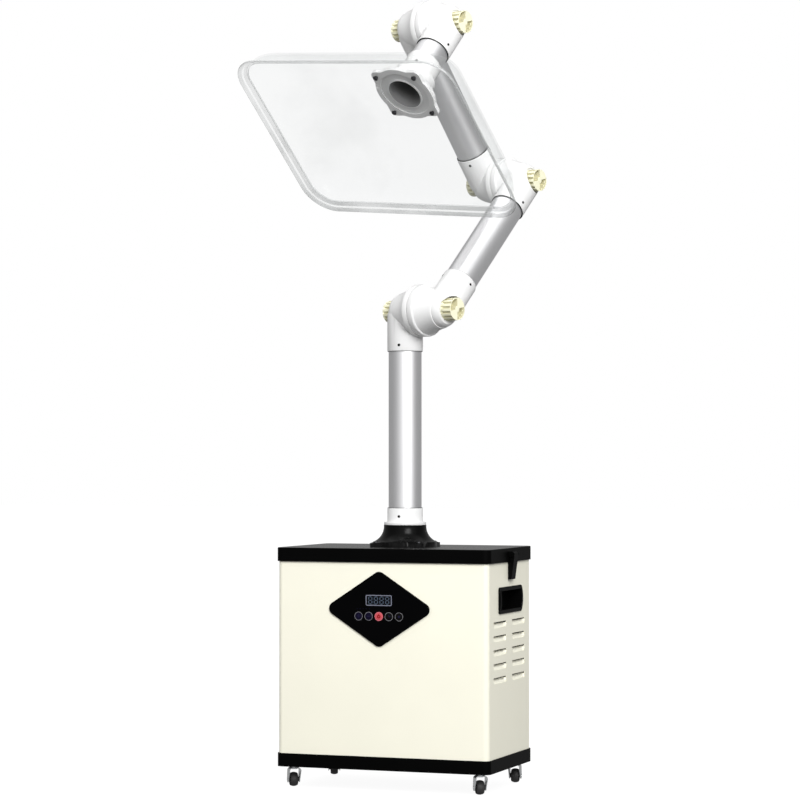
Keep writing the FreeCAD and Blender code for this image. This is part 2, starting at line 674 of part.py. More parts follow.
# Filters and blower
def filter_shelf():
    plate = rounded_prism(INNER_WIDTH - 2 * SHEET_GAP, INNER_DEPTH - 2 * SHEET_GAP,
                          BODY_CORNER - BODY_WALL, SHELF_Z, SHELF_TOP)
    return plate.cut(cylinder(SHELF_PORT_R, SHELF_Z - PAST, SHELF_TOP + PAST))


def filter_cell(z0, height):
    """A framed filter whose pleated pack lies a little below the frame's faces."""
    w = FILTER_WIDTH / 2
    d = FILTER_DEPTH / 2
    cell = box(-w, w, -d, d, z0, z0 + height)
    recesses = []
    for z in (z0, z0 + height - FILTER_MEDIA_RECESS):
        recesses.append(box(-w + FILTER_FRAME, w - FILTER_FRAME, -d + FILTER_FRAME, d - FILTER_FRAME,
                            z, z + FILTER_MEDIA_RECESS))
    return cell.cut(recesses)


def blower_housing():
    """Round casing under the shelf, open to both sides, with a bottom plate for the motor."""
    outer = cylinder(BLOWER_R, BLOWER_Z, SHELF_Z)
    room = cylinder(BLOWER_R - BLOWER_WALL, BLOWER_Z + BLOWER_WALL, SHELF_Z - BLOWER_WALL)
    eye = cylinder(SHELF_PORT_R, SHELF_Z - 2 * BLOWER_WALL, SHELF_Z + PAST)
    half = BLOWER_OUTLET_WIDTH / 2
    outlet = box(-BLOWER_R - PAST, BLOWER_R + PAST, -half, half,
                 BLOWER_Z + 2 * BLOWER_WALL, SHELF_Z - 2 * BLOWER_WALL)
    bore = cylinder(SHAFT_R + SLIP_GAP, BLOWER_Z - PAST, BLOWER_Z + 2 * BLOWER_WALL)
    return outer.cut([room, eye, outlet, bore])


def blower_impeller():
    z0 = IMPELLER_Z
    z1 = z0 + IMPELLER_HEIGHT
    plates = [cylinder(IMPELLER_R, z0, z0 + IMPELLER_PLATE),
              cylinder(IMPELLER_R, z1 - IMPELLER_PLATE, z1).cut(cylinder(IMPELLER_EYE_R, z0, z1 + PAST))]
    hub = cylinder(IMPELLER_HUB_R, z0, z0 + IMPELLER_HEIGHT / 2)
    blade = box(IMPELLER_EYE_R, IMPELLER_R - IMPELLER_PLATE, -IMPELLER_PLATE / 2, IMPELLER_PLATE / 2, z0, z1)
    blade = turned(blade, BLADE_ANGLE, Z_AXIS, Vector(IMPELLER_EYE_R, 0, 0))
    blade = blade.common(cylinder(IMPELLER_R, z0, z1))
    blades = [turned(blade, n * 360 / IMPELLER_BLADES) for n in range(IMPELLER_BLADES)]
    bore = cylinder(SHAFT_R, z0 - PAST, z1)
    return plates[0].fuse([plates[1], hub] + blades).removeSplitter().cut(bore)


def motor_z():
    return BLOWER_Z - MOTOR_HEIGHT


def blower_motor():
    body = cylinder(MOTOR_R, motor_z(), BLOWER_Z)
    body = body.makeChamfer(MOTOR_CHAMFER, [body.Edges[0], body.Edges[2]])
    return body.cut(cylinder(SHAFT_R + FIT_GAP, motor_z() + MOTOR_CHAMFER, BLOWER_Z + PAST))


def blower_shaft():
    return cylinder(SHAFT_R, motor_z() + MOTOR_CHAMFER + FACE_GAP, IMPELLER_Z + IMPELLER_HEIGHT / 2)


# Flange and collar that the column and the hood share
def screw_places():
    s = FLANGE_SIDE / 2 - SCREW_INSET
    return [(x, y) for x in (-s, s) for y in (-s, s)]


def flange():
    """Square foot with swollen sides and a hollow-curved neck, standing on z = 0."""
    bend = (FLANGE_TOE_R - FLANGE_NECK_R) * FLANGE_CURVE_SHARE
    middle = Vector(FLANGE_NECK_R + bend, 0, FLANGE_SLAB + (FLANGE_HEIGHT - FLANGE_SLAB) * FLANGE_CURVE_SHARE)
    outline = [Vector(0, 0, 0), Vector(FLANGE_TOE_R, 0, 0), Vector(FLANGE_TOE_R, 0, FLANGE_SLAB),
               (middle, Vector(FLANGE_NECK_R, 0, FLANGE_HEIGHT)), Vector(0, 0, FLANGE_HEIGHT)]
    foot = rounded_prism(FLANGE_SIDE, FLANGE_SIDE, FLANGE_CORNER, 0, FLANGE_HEIGHT)
    body = revolved(outline, Z_AXIS).common(foot.fuse(cylinder(FLANGE_SWELL_R, 0, FLANGE_HEIGHT)))
    spot = SCREW_HEAD_R + SLIP_GAP + FACE_GAP
    cuts = [cylinder(SPIGOT_R + FIT_GAP, FLANGE_HEIGHT - SPIGOT_LENGTH - FACE_GAP, FLANGE_HEIGHT + PAST),
            cylinder(AIR_BORE_R, -PAST, FLANGE_HEIGHT)]
    for x, y in screw_places():
        cuts.append(cylinder(SCREW_R + SLIP_GAP, -PAST, FLANGE_HEIGHT, x, y))
        cuts.append(cylinder(spot, FLANGE_SLAB, FLANGE_HEIGHT, x, y))
    return body.cut(cuts)


def collar(height):
    """White socket that turns in the flange; the flange's top face is z = 0."""
    rim = cylinder(COLLAR_RIM_R, FACE_GAP, COLLAR_RIM_HEIGHT)
    body = cylinder(SOCKET_R, FACE_GAP, height)
    spigot = cylinder(SPIGOT_R, -SPIGOT_LENGTH, COLLAR_RIM_HEIGHT)
    solid = rim.fuse([body, spigot]).removeSplitter()
    return solid.cut([cylinder(TUBE_R + FIT_GAP, COLLAR_RIM_HEIGHT, height + PAST),
                      cylinder(AIR_BORE_R, -SPIGOT_LENGTH - PAST, height)])


def screws(shank):
    """Four cap screws through the lugs of a flange that stands on z = 0."""
    made = []
    for x, y in screw_places():
        head = cylinder(SCREW_HEAD_R, FLANGE_SLAB, FLANGE_SLAB + SCREW_HEAD_HEIGHT, x, y)
        made.append(head.fuse(cylinder(SCREW_R, -shank, FLANGE_SLAB, x, y)).removeSplitter())
    return made


# Arm joints
def bell(thin, tail):
    """Flared bell turned about X, thinned by a wall, from the elbow's ball to the joint face."""
    outline = [Vector(BELL_START_X, 0, 0), Vector(BELL_START_X, BELL_START_R - thin, 0),
               (Vector(BELL_MIDDLE_X, BELL_MIDDLE_R - thin, 0), Vector(FACE_X - RIM_WIDTH, BELL_R - thin, 0))]
    return revolved(outline + tail, X_AXIS)


def joint_half():
    """Half of an arm joint: x points to the joint face, z points into its tube."""
    rim_x = FACE_X - RIM_WIDTH
    rim_tail = [Vector(rim_x, RIM_R - RIM_STEP, 0), Vector(rim_x + RIM_STEP, RIM_R, 0),
                Vector(FACE_X, RIM_R, 0), Vector(FACE_X, 0, 0)]
    mouth = BELL_R - SHELL_WALL
    room_tail = [Vector(FACE_X + PAST, mouth, 0), Vector(FACE_X + PAST, 0, 0)]
    beyond = ELBOW_R + PAST
    ball = Part.makeSphere(ELBOW_R).cut(box(-beyond, -ELBOW_FLAT, -beyond, beyond, -beyond, beyond))
    socket = cylinder(SOCKET_R, 0, SOCKET_REACH)
    pocket = cylinder_x(KNOB_POCKET_R, -beyond, -KNOB_SEAT)
    boss = cylinder_x(KNOB_POCKET_R + SHELL_WALL, -beyond, -KNOB_SEAT + SHELL_WALL)
    end_wall = box(-beyond, -ELBOW_FLAT + SHELL_WALL, -beyond, beyond, -beyond, 0)
    bore = cylinder(AIR_BORE_R, 0, TUBE_SEAT + PAST)
    room = Part.makeSphere(ELBOW_R - SHELL_WALL).fuse([bell(SHELL_WALL, room_tail), bore]).cut([boss, end_wall])
    shell = ball.fuse([bell(0.0, rim_tail), socket]).cut(
        [room, pocket, cylinder(TUBE_R + FIT_GAP, TUBE_SEAT, SOCKET_REACH + PAST)])
    hub = cylinder_x(HUB_R, -KNOB_SEAT, FACE_X)
    bolt_bore = cylinder_x(BOLT_R + FIT_GAP, -KNOB_SEAT - PAST, FACE_X + PAST)
    return shell.fuse(hub).cut(bolt_bore).removeSplitter()


def joint_bolt():
    """Threaded rod through both halves; x runs from the lower half's tube axis to the upper's."""
    reach = KNOB_SEAT + KNOB_BORE_DEPTH
    return cylinder_x(BOLT_R, -reach, ARM_OFFSET + reach)


def joint_ring():
    """Friction and seal ring between the two rims."""
    middle = ARM_OFFSET / 2
    ring = cylinder_x(RIM_R - RING_LAND, middle - RING_THICK / 2, middle + RING_THICK / 2)
    return ring.cut(cylinder_x(BELL_R - SHELL_WALL, middle - RING_THICK, middle + RING_THICK))


def knob():
    """Fluted clamp knob; its seat is x = 0 and it stands towards -x."""
    x0 = -KNOB_HEIGHT - FACE_GAP
    body = cylinder_x(KNOB_R, x0, -FACE_GAP)
    body = body.makeChamfer(KNOB_EDGE, [body.Edges[0], body.Edges[2]])
    flute = cylinder_x(KNOB_FLUTE_R, x0 - PAST, PAST, KNOB_R + KNOB_FLUTE_R / 2)
    cuts = [turned(flute, n * 360 / KNOB_FLUTES, X_AXIS) for n in range(KNOB_FLUTES)]
    cuts.append(cylinder_x(BOLT_R + FIT_GAP, -KNOB_BORE_DEPTH - FACE_GAP, PAST))
    depth = x0 + KNOB_POCKET_DEPTH
    ring = cylinder_x(KNOB_R - KNOB_FLUTE_R / 2 - KNOB_RIM, x0 - PAST, depth)
    ring = ring.cut(cylinder_x(KNOB_HUB_R, x0 - 2 * PAST, depth + PAST))
    web = box(x0 - 2 * PAST, depth + PAST, 0, KNOB_R, -KNOB_WEB / 2, KNOB_WEB / 2)
    webs = [turned(web, n * 360 / KNOB_POCKETS + KNOB_WEB_ANGLE, X_AXIS) for n in range(KNOB_POCKETS)]
    return body.cut(cuts + [ring.cut(webs)])


def tube(start, end):
    return cylinder(TUBE_R, start, end).cut(cylinder(TUBE_R - TUBE_WALL, start - PAST, end + PAST))


# Hood
def hood_levels(wall):
    """Length, width, corner radius and height of the hood's sections, from the lip to the crown."""
    levels = []
    for height, inset in HOOD_PROFILE:
        share = inset / HOOD_PROFILE[-1][1]
        length = HOOD_LENGTH - 2 * HOOD_LIP - share * (HOOD_LENGTH - 2 * HOOD_LIP - CROWN_LENGTH)
        width = HOOD_WIDTH - 2 * HOOD_LIP - share * (HOOD_WIDTH - 2 * HOOD_LIP - CROWN_WIDTH)
        radius = HOOD_CORNER - HOOD_LIP
        z = (height - 1.0) * HOOD_DEPTH
        levels.append((length - 2 * wall, width - 2 * wall, radius - wall, z))
    return levels


def hood_form(wall, drop):
    wires = [rounded_wire(length, width, radius, z - drop) for length, width, radius, z in hood_levels(wall)]
    return Part.makeLoft(wires, True, False)


def hood():
    """Clear dome with a flat lip, its crown's outer face on z = 0 and its mouth towards -z."""
    outer = hood_form(0.0, 0.0)
    inner = hood_form(HOOD_WALL, HOOD_WALL)
    lip = rounded_prism(HOOD_LENGTH, HOOD_WIDTH, HOOD_CORNER, -HOOD_DEPTH, -HOOD_DEPTH + HOOD_WALL)
    length, width, radius, _ = hood_levels(HOOD_WALL)[0]
    mouth = rounded_prism(length, width, radius, -HOOD_DEPTH - HOOD_WALL, -HOOD_DEPTH + HOOD_WALL)
    port = cylinder(AIR_BORE_R, -2 * HOOD_WALL, PAST)
    holes = [cylinder(SCREW_R + SLIP_GAP, -2 * HOOD_WALL, PAST, x, y) for x, y in screw_places()]
    return outer.fuse(lip).cut([inner, mouth, port] + holes)


# Arm frames: x along the pivot axis, y across it, then turned about the column by the arm's yaw
def lean(degrees):
    """Unit vector in the plane across the pivots, leaning from +Z towards +Y."""
    angle = math.radians(degrees)
    return Vector(0, math.sin(angle), math.cos(angle))


MIDDLE_DIR = lean(MIDDLE_ANGLE)
UPPER_DIR = lean(UPPER_ANGLE)
HOOD_DIR = lean(HOOD_ANGLE)
SHOULDER = Vector(0, 0, PIVOT_Z)
ELBOW = SHOULDER + MIDDLE_DIR * LINK_LENGTH
WRIST = ELBOW + UPPER_DIR * LINK_LENGTH
SIDE_STEP = Vector(ARM_OFFSET, 0, 0)
YAW = FreeCAD.Placement(ORIGIN, FreeCAD.Rotation(Z_AXIS, ARM_YAW))
CROWN = WRIST + SIDE_STEP + HOOD_DIR * HOOD_DROP
COLUMN_FRAME = FreeCAD.Placement(Vector(0, 0, COLUMN_Z), FreeCAD.Rotation())


def in_arm(shape, origin, x_dir, z_dir):
    return placed(shape, YAW.multiply(frame(origin, x_dir, z_dir)))


def save_joint(name, pivot, lower_dir, lower_x, upper_dir):
    """Both halves, bolt, ring and knobs of one joint; lower_x is the side that the lower half faces."""
    other = pivot + SIDE_STEP
    lower_at, upper_at = (pivot, other) if lower_x > 0 else (other, pivot)
    x_dir = X_AXIS * lower_x
    half = joint_half()
    save(name + "_lower_shell", in_arm(half, lower_at, x_dir, lower_dir))
    save(name + "_upper_shell", in_arm(half, upper_at, x_dir * -1, upper_dir))
    save(name + "_bolt", in_arm(joint_bolt(), lower_at, x_dir, lower_dir))
    save(name + "_ring", in_arm(joint_ring(), lower_at, x_dir, lower_dir))
    grip = shifted(knob(), x=-KNOB_SEAT)
    save(name + "_lower_knob", in_arm(grip, lower_at, x_dir, lower_dir))
    save(name + "_upper_knob", in_arm(grip, upper_at, x_dir * -1, upper_dir))


def save_cabinet():
    save("base_tray", base_tray())
    save("cabinet_shell", cabinet_shell())
    save("rear_panel", rear_panel())
    save("power_inlet", power_inlet())
    save("lid", lid())
    save("lid_gasket", lid_gasket())
    save("side_handles", side_handle(), turned(side_handle(), 180))
    save("latch_brackets", latch_bracket(), turned(latch_bracket(), 180))
    save("latch_catches", latch_catch(), turned(latch_catch(), 180))
    save("latch_lever_right", latch_lever())
    save("latch_lever_left", turned(latch_lever(), 180))
    save("control_panel", control_panel())
    save("display_window", display_window())
    save("touch_keys", *touch_keys())
    save("control_board", control_board())


def save_casters():
    save("caster_stems", *[at_caster(caster_stem(), place) for place in CASTERS.values()])
    fork, axle = caster_fork()
    for name, place in CASTERS.items():
        save("caster_fork_" + name, at_caster(fork, place), at_caster(axle, place))
        save("caster_wheel_" + name, at_caster(caster_wheel(), place))


def save_air_path():
    save("filter_shelf", filter_shelf())
    save("main_filter", filter_cell(SHELF_TOP, MAIN_FILTER_HEIGHT))
    save("pre_filter", filter_cell(SHELF_TOP + MAIN_FILTER_HEIGHT, PRE_FILTER_HEIGHT))
    save("blower_housing", blower_housing())
    save("blower_impeller", blower_impeller())
    save("blower_motor", blower_motor())
    save("blower_shaft", blower_shaft())


def save_arm():
    save("column_flange", shifted(flange(), z=LID_TOP))
    save("flange_screws", *[shifted(screw, z=LID_TOP) for screw in screws(LID_SCREW_LENGTH)])
    save("column_collar", placed(collar(COLLAR_HEIGHT), YAW.multiply(COLUMN_FRAME)))
    save("column_tube", tube(COLUMN_Z + COLLAR_RIM_HEIGHT, PIVOT_Z - TUBE_SEAT))
    save_joint("shoulder", SHOULDER, Z_AXIS * -1, 1, MIDDLE_DIR)
    save_joint("elbow", ELBOW, MIDDLE_DIR * -1, -1, UPPER_DIR)
    save_joint("wrist", WRIST, UPPER_DIR * -1, 1, HOOD_DIR)
    link = tube(TUBE_SEAT, LINK_LENGTH - TUBE_SEAT)
    save("middle_tube", in_arm(link, SHOULDER + SIDE_STEP, X_AXIS, MIDDLE_DIR))
    save("upper_tube", in_arm(link, ELBOW, X_AXIS, UPPER_DIR))
    collar_base = HOOD_DROP - FLANGE_HEIGHT - COLLAR_RIM_HEIGHT
    save("hood_tube", in_arm(tube(TUBE_SEAT, collar_base), WRIST + SIDE_STEP, X_AXIS, HOOD_DIR))


def save_hood():
    up = HOOD_DIR * -1
    swing = FreeCAD.Rotation(HOOD_DIR, HOOD_TURN_ANGLE).multVec(X_AXIS)
    save("hood_collar", in_arm(collar(HOOD_COLLAR_HEIGHT), CROWN + up * FLANGE_HEIGHT, X_AXIS, up))
    save("hood_flange", in_arm(flange(), CROWN, swing, up))
    save("hood_screws", *[in_arm(screw, CROWN, swing, up) for screw in screws(HOOD_WALL + SCREW_HEAD_HEIGHT)])
    save("hood", in_arm(hood(), CROWN, swing, up))


os.makedirs("parts", exist_ok=True)
save_cabinet()
save_casters()
save_air_path()
save_arm()
save_hood()
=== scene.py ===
# %% [markdown]
# # Dressing a mobile smoke extractor
# The machine is a filter cabinet on casters with a three-joint suction arm and a clear hood. Its solids are
# packed at their real size, so this lesson only gives them their looks. A solid whose shape is right keeps
# its place and gets a finish. A solid that needs rounder or finer forms is modelled again on the same axes,
# and the new piece stands for it.

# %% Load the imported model
import json
import math

import bmesh
import bpy
from mathutils import Matrix, Vector


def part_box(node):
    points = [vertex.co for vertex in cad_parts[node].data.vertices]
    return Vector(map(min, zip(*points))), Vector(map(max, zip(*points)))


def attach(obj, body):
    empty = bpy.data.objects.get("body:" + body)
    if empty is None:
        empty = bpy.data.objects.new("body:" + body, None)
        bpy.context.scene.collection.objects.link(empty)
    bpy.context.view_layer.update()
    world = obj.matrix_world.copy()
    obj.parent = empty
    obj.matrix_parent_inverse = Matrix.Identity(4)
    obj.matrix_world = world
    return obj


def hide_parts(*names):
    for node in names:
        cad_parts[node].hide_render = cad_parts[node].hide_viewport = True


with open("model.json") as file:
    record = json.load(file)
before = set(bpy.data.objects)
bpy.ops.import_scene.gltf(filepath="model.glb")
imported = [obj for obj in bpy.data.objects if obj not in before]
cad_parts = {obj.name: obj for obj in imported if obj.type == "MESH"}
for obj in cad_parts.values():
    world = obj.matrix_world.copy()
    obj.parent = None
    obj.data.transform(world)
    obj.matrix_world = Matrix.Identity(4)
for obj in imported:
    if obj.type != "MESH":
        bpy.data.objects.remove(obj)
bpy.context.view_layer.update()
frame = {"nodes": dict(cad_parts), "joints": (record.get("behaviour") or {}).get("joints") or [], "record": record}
nodes = frame["nodes"]
joints = {joint["name"]: joint for joint in frame["joints"]}
body_of = {node: body for body, members in frame["record"]["behaviour"]["bodies"].items() for node in members}
UP = Vector((0, 0, 1))
FRONT = Vector((0, -1, 0))

# %% [markdown]
# ## Working by operators
# Every piece below is modelled as by hand: a primitive, then operators in edit mode, then modifiers.
# Operators act on all that is selected, so these helpers always start from nothing selected and pick faces
# and edges by where they are. A turned part is made as a turner would draw it: one vertex is extruded along
# half of the section, and the section is then spun about its axis.


# %% Helpers for selecting and shaping
MERGE = 1e-6
ROUND_STEPS = 96


def rest():
    """Object mode with nothing selected."""
    if bpy.context.object and bpy.context.object.mode != "OBJECT":
        bpy.ops.object.mode_set(mode="OBJECT")
    bpy.ops.object.select_all(action="DESELECT")


def take(piece):
    rest()
    piece.select_set(True)
    bpy.context.view_layer.objects.active = piece


def edit(piece, kind="VERT"):
    take(piece)
    bpy.ops.object.mode_set(mode="EDIT")
    bpy.ops.mesh.select_mode(type=kind)
    bpy.ops.mesh.select_all(action="DESELECT")


def select_whole():
    """In edit mode, selects the whole mesh."""
    bpy.ops.mesh.select_all(action="SELECT")


def face_out(inside=False):
    """In edit mode, turns all faces outwards, or inwards."""
    select_whole()
    bpy.ops.mesh.normals_make_consistent(inside=inside)


def pick(piece, kind, test):
    """In edit mode, selects the verts, edges or faces that pass a test."""
    mesh = bmesh.from_edit_mesh(piece.data)
    for part in getattr(mesh, kind):
        part.select_set(bool(test(part)))
    mesh.select_flush_mode()
    bmesh.update_edit_mesh(piece.data)


def named(name):
    """Names the primitive that was just added."""
    piece = bpy.context.object
    piece.name = name
    piece.data.name = name
    return piece


def modify(piece, kind, **settings):
    """Adds one modifier and applies it."""
    modifier = piece.modifiers.new(kind, kind)
    for key, value in settings.items():
        setattr(modifier, key, value)
    take(piece)
    bpy.ops.object.modifier_apply(modifier=modifier.name)


def combine(piece, tool, operation):
    """Boolean of a piece with a tool, which is used up."""
    modify(piece, "BOOLEAN", operation=operation, object=tool, solver="EXACT")
    bpy.data.objects.remove(tool)


def round_edges(piece, width, segments=2, angle=35):
    modify(piece, "BEVEL", width=width, segments=segments, limit_method="ANGLE",
           angle_limit=math.radians(angle))


def smooth(piece, angle=35):
    take(piece)
    bpy.ops.object.shade_smooth_by_angle(angle=math.radians(angle))
    return piece


def put(piece, matrix):
    """Moves a piece and keeps its place in its mesh."""
    piece.matrix_world = matrix
    take(piece)
    bpy.ops.object.transform_apply(location=True, rotation=True, scale=True)
    return piece


def copied(piece, name):
    take(piece)
    bpy.ops.object.duplicate(linked=False)
    return named(name)


def joined(pieces, name):
    take(pieces[0])
    for piece in pieces:
        piece.select_set(True)
    bpy.ops.object.join()
    return named(name)


def copies(piece, places, name):
    """Copies of a piece at several places, joined as one. The piece itself is used up."""
    made = [put(copied(piece, name), place) for place in places]
    bpy.data.objects.remove(piece)
    return joined(made, name)


def block(name, place, size):
    """A plain block, for cutting."""
    rest()
    bpy.ops.mesh.primitive_cube_add(size=1.0)
    return put(named(name), place @ Matrix.Diagonal((*size, 1)))


def plate(name, length, width, corner, segments):
    """A flat plate in XY with rounded or cut corners, left in edit mode with all of it selected."""
    rest()
    bpy.ops.mesh.primitive_plane_add(size=1.0)
    piece = put(named(name), Matrix.Diagonal((length, width, 1, 1)))
    edit(piece)
    select_whole()
    bpy.ops.mesh.bevel(offset=corner, segments=segments, affect="VERTICES")
    select_whole()
    return piece


def traced(name, points):
    """A line of edges through points, extruded from one vertex."""
    rest()
    bpy.ops.mesh.primitive_plane_add()
    piece = named(name)
    edit(piece)
    select_whole()
    bpy.ops.mesh.merge(type="CENTER")
    bpy.ops.transform.translate(value=points[0])
    for start, end in zip(points, points[1:]):
        bpy.ops.mesh.extrude_vertices_move(TRANSFORM_OT_translate={"value": Vector(end) - Vector(start)})
    return piece


def turned(name, section, steps=ROUND_STEPS, angle=360.0):
    """Spins a section of (radius, height) points about the Z axis."""
    piece = traced(name, [(radius, 0, height) for radius, height in section])
    select_whole()
    bpy.ops.mesh.spin(steps=steps, angle=math.radians(angle), center=(0, 0, 0), axis=(0, 0, 1))
    select_whole()
    bpy.ops.mesh.remove_doubles(threshold=MERGE)
    face_out()
    rest()
    return piece


def rod(radius, low, high):
    """Section of a solid cylinder."""
    return [(0, low), (radius, low), (radius, high), (0, high)]


def sleeve(inner, outer, low, high):
    """Section of a ring."""
    return [(inner, low), (outer, low), (outer, high), (inner, high), (inner, low)]


def arc(start, middle, end, count=14):
    """Points of the circle through three points of a section, from the start to the end."""
    a, b, c = (Vector(point) for point in (start, middle, end))
    d = 2 * (a.x * (b.y - c.y) + b.x * (c.y - a.y) + c.x * (a.y - b.y))
    squares = [p.length_squared for p in (a, b, c)]
    x = (squares[0] * (b.y - c.y) + squares[1] * (c.y - a.y) + squares[2] * (a.y - b.y)) / d
    y = (squares[0] * (c.x - b.x) + squares[1] * (a.x - c.x) + squares[2] * (b.x - a.x)) / d
    centre = Vector((x, y))
    first = a - centre
    full = first.angle_signed(b - centre) + (b - centre).angle_signed(c - centre)
    return [tuple(centre + Matrix.Rotation(-full * n / count, 2) @ first) for n in range(count + 1)]


def axes(origin, x_dir, z_dir):
    """Placement whose x and z axes lie along two directions."""
    matrix = Matrix((x_dir, z_dir.cross(x_dir), z_dir)).transposed().to_4x4()
    matrix.translation = origin
    return matrix


def ride_with(piece, body):
    """The piece is an extra one that stands for no solid, and it goes with a body."""
    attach(piece, body)


def stand_for(piece, node):
    """The piece takes the place of a solid, on that solid's body."""
    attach(piece, body_of[node])
    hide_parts(node)


# %% [markdown]
# ## Finishes
# Nearly every finish here is one recipe. A slow noise on Object coordinates shifts the colour and the gloss
# a little, as hands and light do on a real machine, and a fine noise gives the bump: orange peel on powder
# coat, a grain on moulded plastic, drawn lines on aluminium. Object coordinates need no UV map and stay
# with the piece when it moves. What is the same all over is set on the shader's own socket.


# %% One recipe for most finishes
SLOW_PATTERN = 6.0
SLOW_DETAIL = 3
FINE_DETAIL = 2
RAMP_HALF = 0.2
BUMP_STRENGTH = 0.6


def shader_of(material):
    return material.node_tree.nodes["Principled BSDF"]


def added(tree, kind, values=None, operation=None):
    """Adds one shader node and sets its own sockets."""
    node = tree.nodes.new("ShaderNode" + kind)
    for socket, value in (values or {}).items():
        node.inputs[socket].default_value = value
    if operation:
        node.operation = operation
    return node


def finish(name, colour, roughness, grain, depth, tint=0.03, spread=0.05, metallic=0.0, mirror=0.5, along=None,
           stretch=1.0):
    """A finish with its grain in bumps per metre and their depth in metres.

    The mirror value sets how much light the surface reflects as a mirror does. A drawn finish has its grain
    stretched along a direction.
    """
    made = bpy.data.materials.new(name)
    made.use_nodes = True
    made.diffuse_color = (*colour, 1)
    tree = made.node_tree
    link = tree.links.new
    shader = shader_of(made)
    shader.inputs["Metallic"].default_value = metallic
    shader.inputs["Specular IOR Level"].default_value = mirror
    place = added(tree, "TexCoord")
    slow = added(tree, "TexNoise", {"Scale": SLOW_PATTERN, "Detail": SLOW_DETAIL})
    link(place.outputs["Object"], slow.inputs["Vector"])
    ramp = added(tree, "ValToRGB")
    for stop, sign in zip(ramp.color_ramp.elements, (-1, 1)):
        stop.position = 0.5 + sign * RAMP_HALF
        stop.color = (*[min(1.0, channel * (1 + sign * tint)) for channel in colour], 1)
    link(slow.outputs["Fac"], ramp.inputs["Fac"])
    link(ramp.outputs["Color"], shader.inputs["Base Color"])
    fine = added(tree, "TexNoise", {"Scale": grain, "Detail": FINE_DETAIL})
    if along is None:
        link(place.outputs["Object"], fine.inputs["Vector"])
    else:
        turn = along.to_track_quat("Z", "Y").to_euler()
        drawn = added(tree, "Mapping", {"Rotation": turn, "Scale": (1, 1, stretch)})
        drawn.vector_type = "TEXTURE"
        link(place.outputs["Object"], drawn.inputs["Vector"])
        link(drawn.outputs["Vector"], fine.inputs["Vector"])
    gloss = added(tree, "MapRange", {"To Min": roughness - spread, "To Max": roughness + spread})
    link(fine.outputs["Fac"], gloss.inputs["Value"])
    link(gloss.outputs["Result"], shader.inputs["Roughness"])
    bump = added(tree, "Bump", {"Strength": BUMP_STRENGTH, "Distance": depth})
    link(fine.outputs["Fac"], bump.inputs["Height"])
    link(bump.outputs["Normal"], shader.inputs["Normal"])
    return made


def paint(piece, material):
    piece.data.materials.clear()
    piece.data.materials.append(material)
    return piece


# %% Painted metal and plastic finishes
BLACK = (0.0015, 0.0015, 0.0015)
IVORY = finish("ivory_powder_coat", (0.94, 0.92, 0.78), 0.34, 900, 0.00003, tint=0.012)
BLACK_METAL = finish("black_powder_coat", BLACK, 0.38, 1100, 0.00003, tint=0.15, mirror=0.02)
BLACK_PLASTIC = finish("black_moulding", BLACK, 0.44, 1500, 0.00003, tint=0.15, mirror=0.04)
FLANGE_BLACK = finish("black_gloss_moulding", (0.001, 0.001, 0.001), 0.24, 300, 0.00002, tint=0.15, mirror=0.10)
WHITE_PLASTIC = finish("white_moulding", (0.79, 0.79, 0.788), 0.30, 500, 0.00002, tint=0.01)
# Dark grey: painted shade for the insides of the bores.
BORE_PAINTED_SHADE = finish("bore_in_shade", (0.22, 0.22, 0.22), 0.6, 500, 0.00002, tint=0.1)
KNOB_CREAM = finish("cream_moulding", (0.88, 0.86, 0.64), 0.38, 900, 0.00003, tint=0.03)
# A darker cream: painted shade for the knobs' flutes and pockets.
KNOB_PAINTED_SHADE = finish("cream_moulding_recess", (0.60, 0.57, 0.37), 0.55, 900, 0.00003, tint=0.06)
PANEL_BLACK = finish("panel_film", (0.001, 0.001, 0.0012), 0.16, 40, 0.000005, tint=0.2, spread=0.02,
                     mirror=0.02)
RUBBER = finish("wheel_rubber", (0.022, 0.021, 0.021), 0.62, 1300, 0.00006, tint=0.2)
FOAM = finish("gasket_foam", (0.03, 0.03, 0.03), 0.9, 1600, 0.0002, tint=0.25)
SEAL = finish("seal_ring", (0.55, 0.55, 0.55), 0.5, 900, 0.00003, tint=0.05)
LID_GLOSS = finish("black_lid_top", BLACK, 0.26, 1100, 0.00003, tint=0.15, mirror=0.7)
print("materials so far:", len(bpy.data.materials))

# %% Metal finishes
ZINC = finish("zinc_plate", (0.78, 0.79, 0.80), 0.26, 260, 0.00003, tint=0.08, metallic=1.0)
DARK_STEEL = finish("blackened_steel", (0.06, 0.06, 0.065), 0.34, 900, 0.00003, tint=0.2, metallic=1.0)
SHEET_STEEL = finish("galvanised_sheet", (0.62, 0.63, 0.64), 0.40, 120, 0.00002, tint=0.12, metallic=1.0)
MOTOR_METAL = finish("cast_aluminium", (0.50, 0.51, 0.52), 0.5, 1200, 0.0001, tint=0.1, metallic=1.0)
BRIGHT_STEEL = finish("bright_steel", (0.75, 0.74, 0.70), 0.25, 600, 0.00002, tint=0.05, metallic=1.0)
print("materials so far:", len(bpy.data.materials))

# %% [markdown]
# ## Axes of the arm
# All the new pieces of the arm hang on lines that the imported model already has: the hinges' axes and the
# tubes' middles. Where a tube's axis passes a hinge is the centre of one half of that joint.


# %% Tube lines and joint frames
def joint_point(name):
    return Vector(joints[name]["pos_m"])


def joint_axis(name):
    return Vector(joints[name]["axis"]).normalized()


def middle_of(node):
    low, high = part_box(node)
    return (low + high) / 2


def run_between(first, second):
    """Direction from one hinge to the next, in the plane across both."""
    pivot = joint_axis(first)
    span = joint_point(second) - joint_point(first)
    return (span - pivot * span.dot(pivot)).normalized()


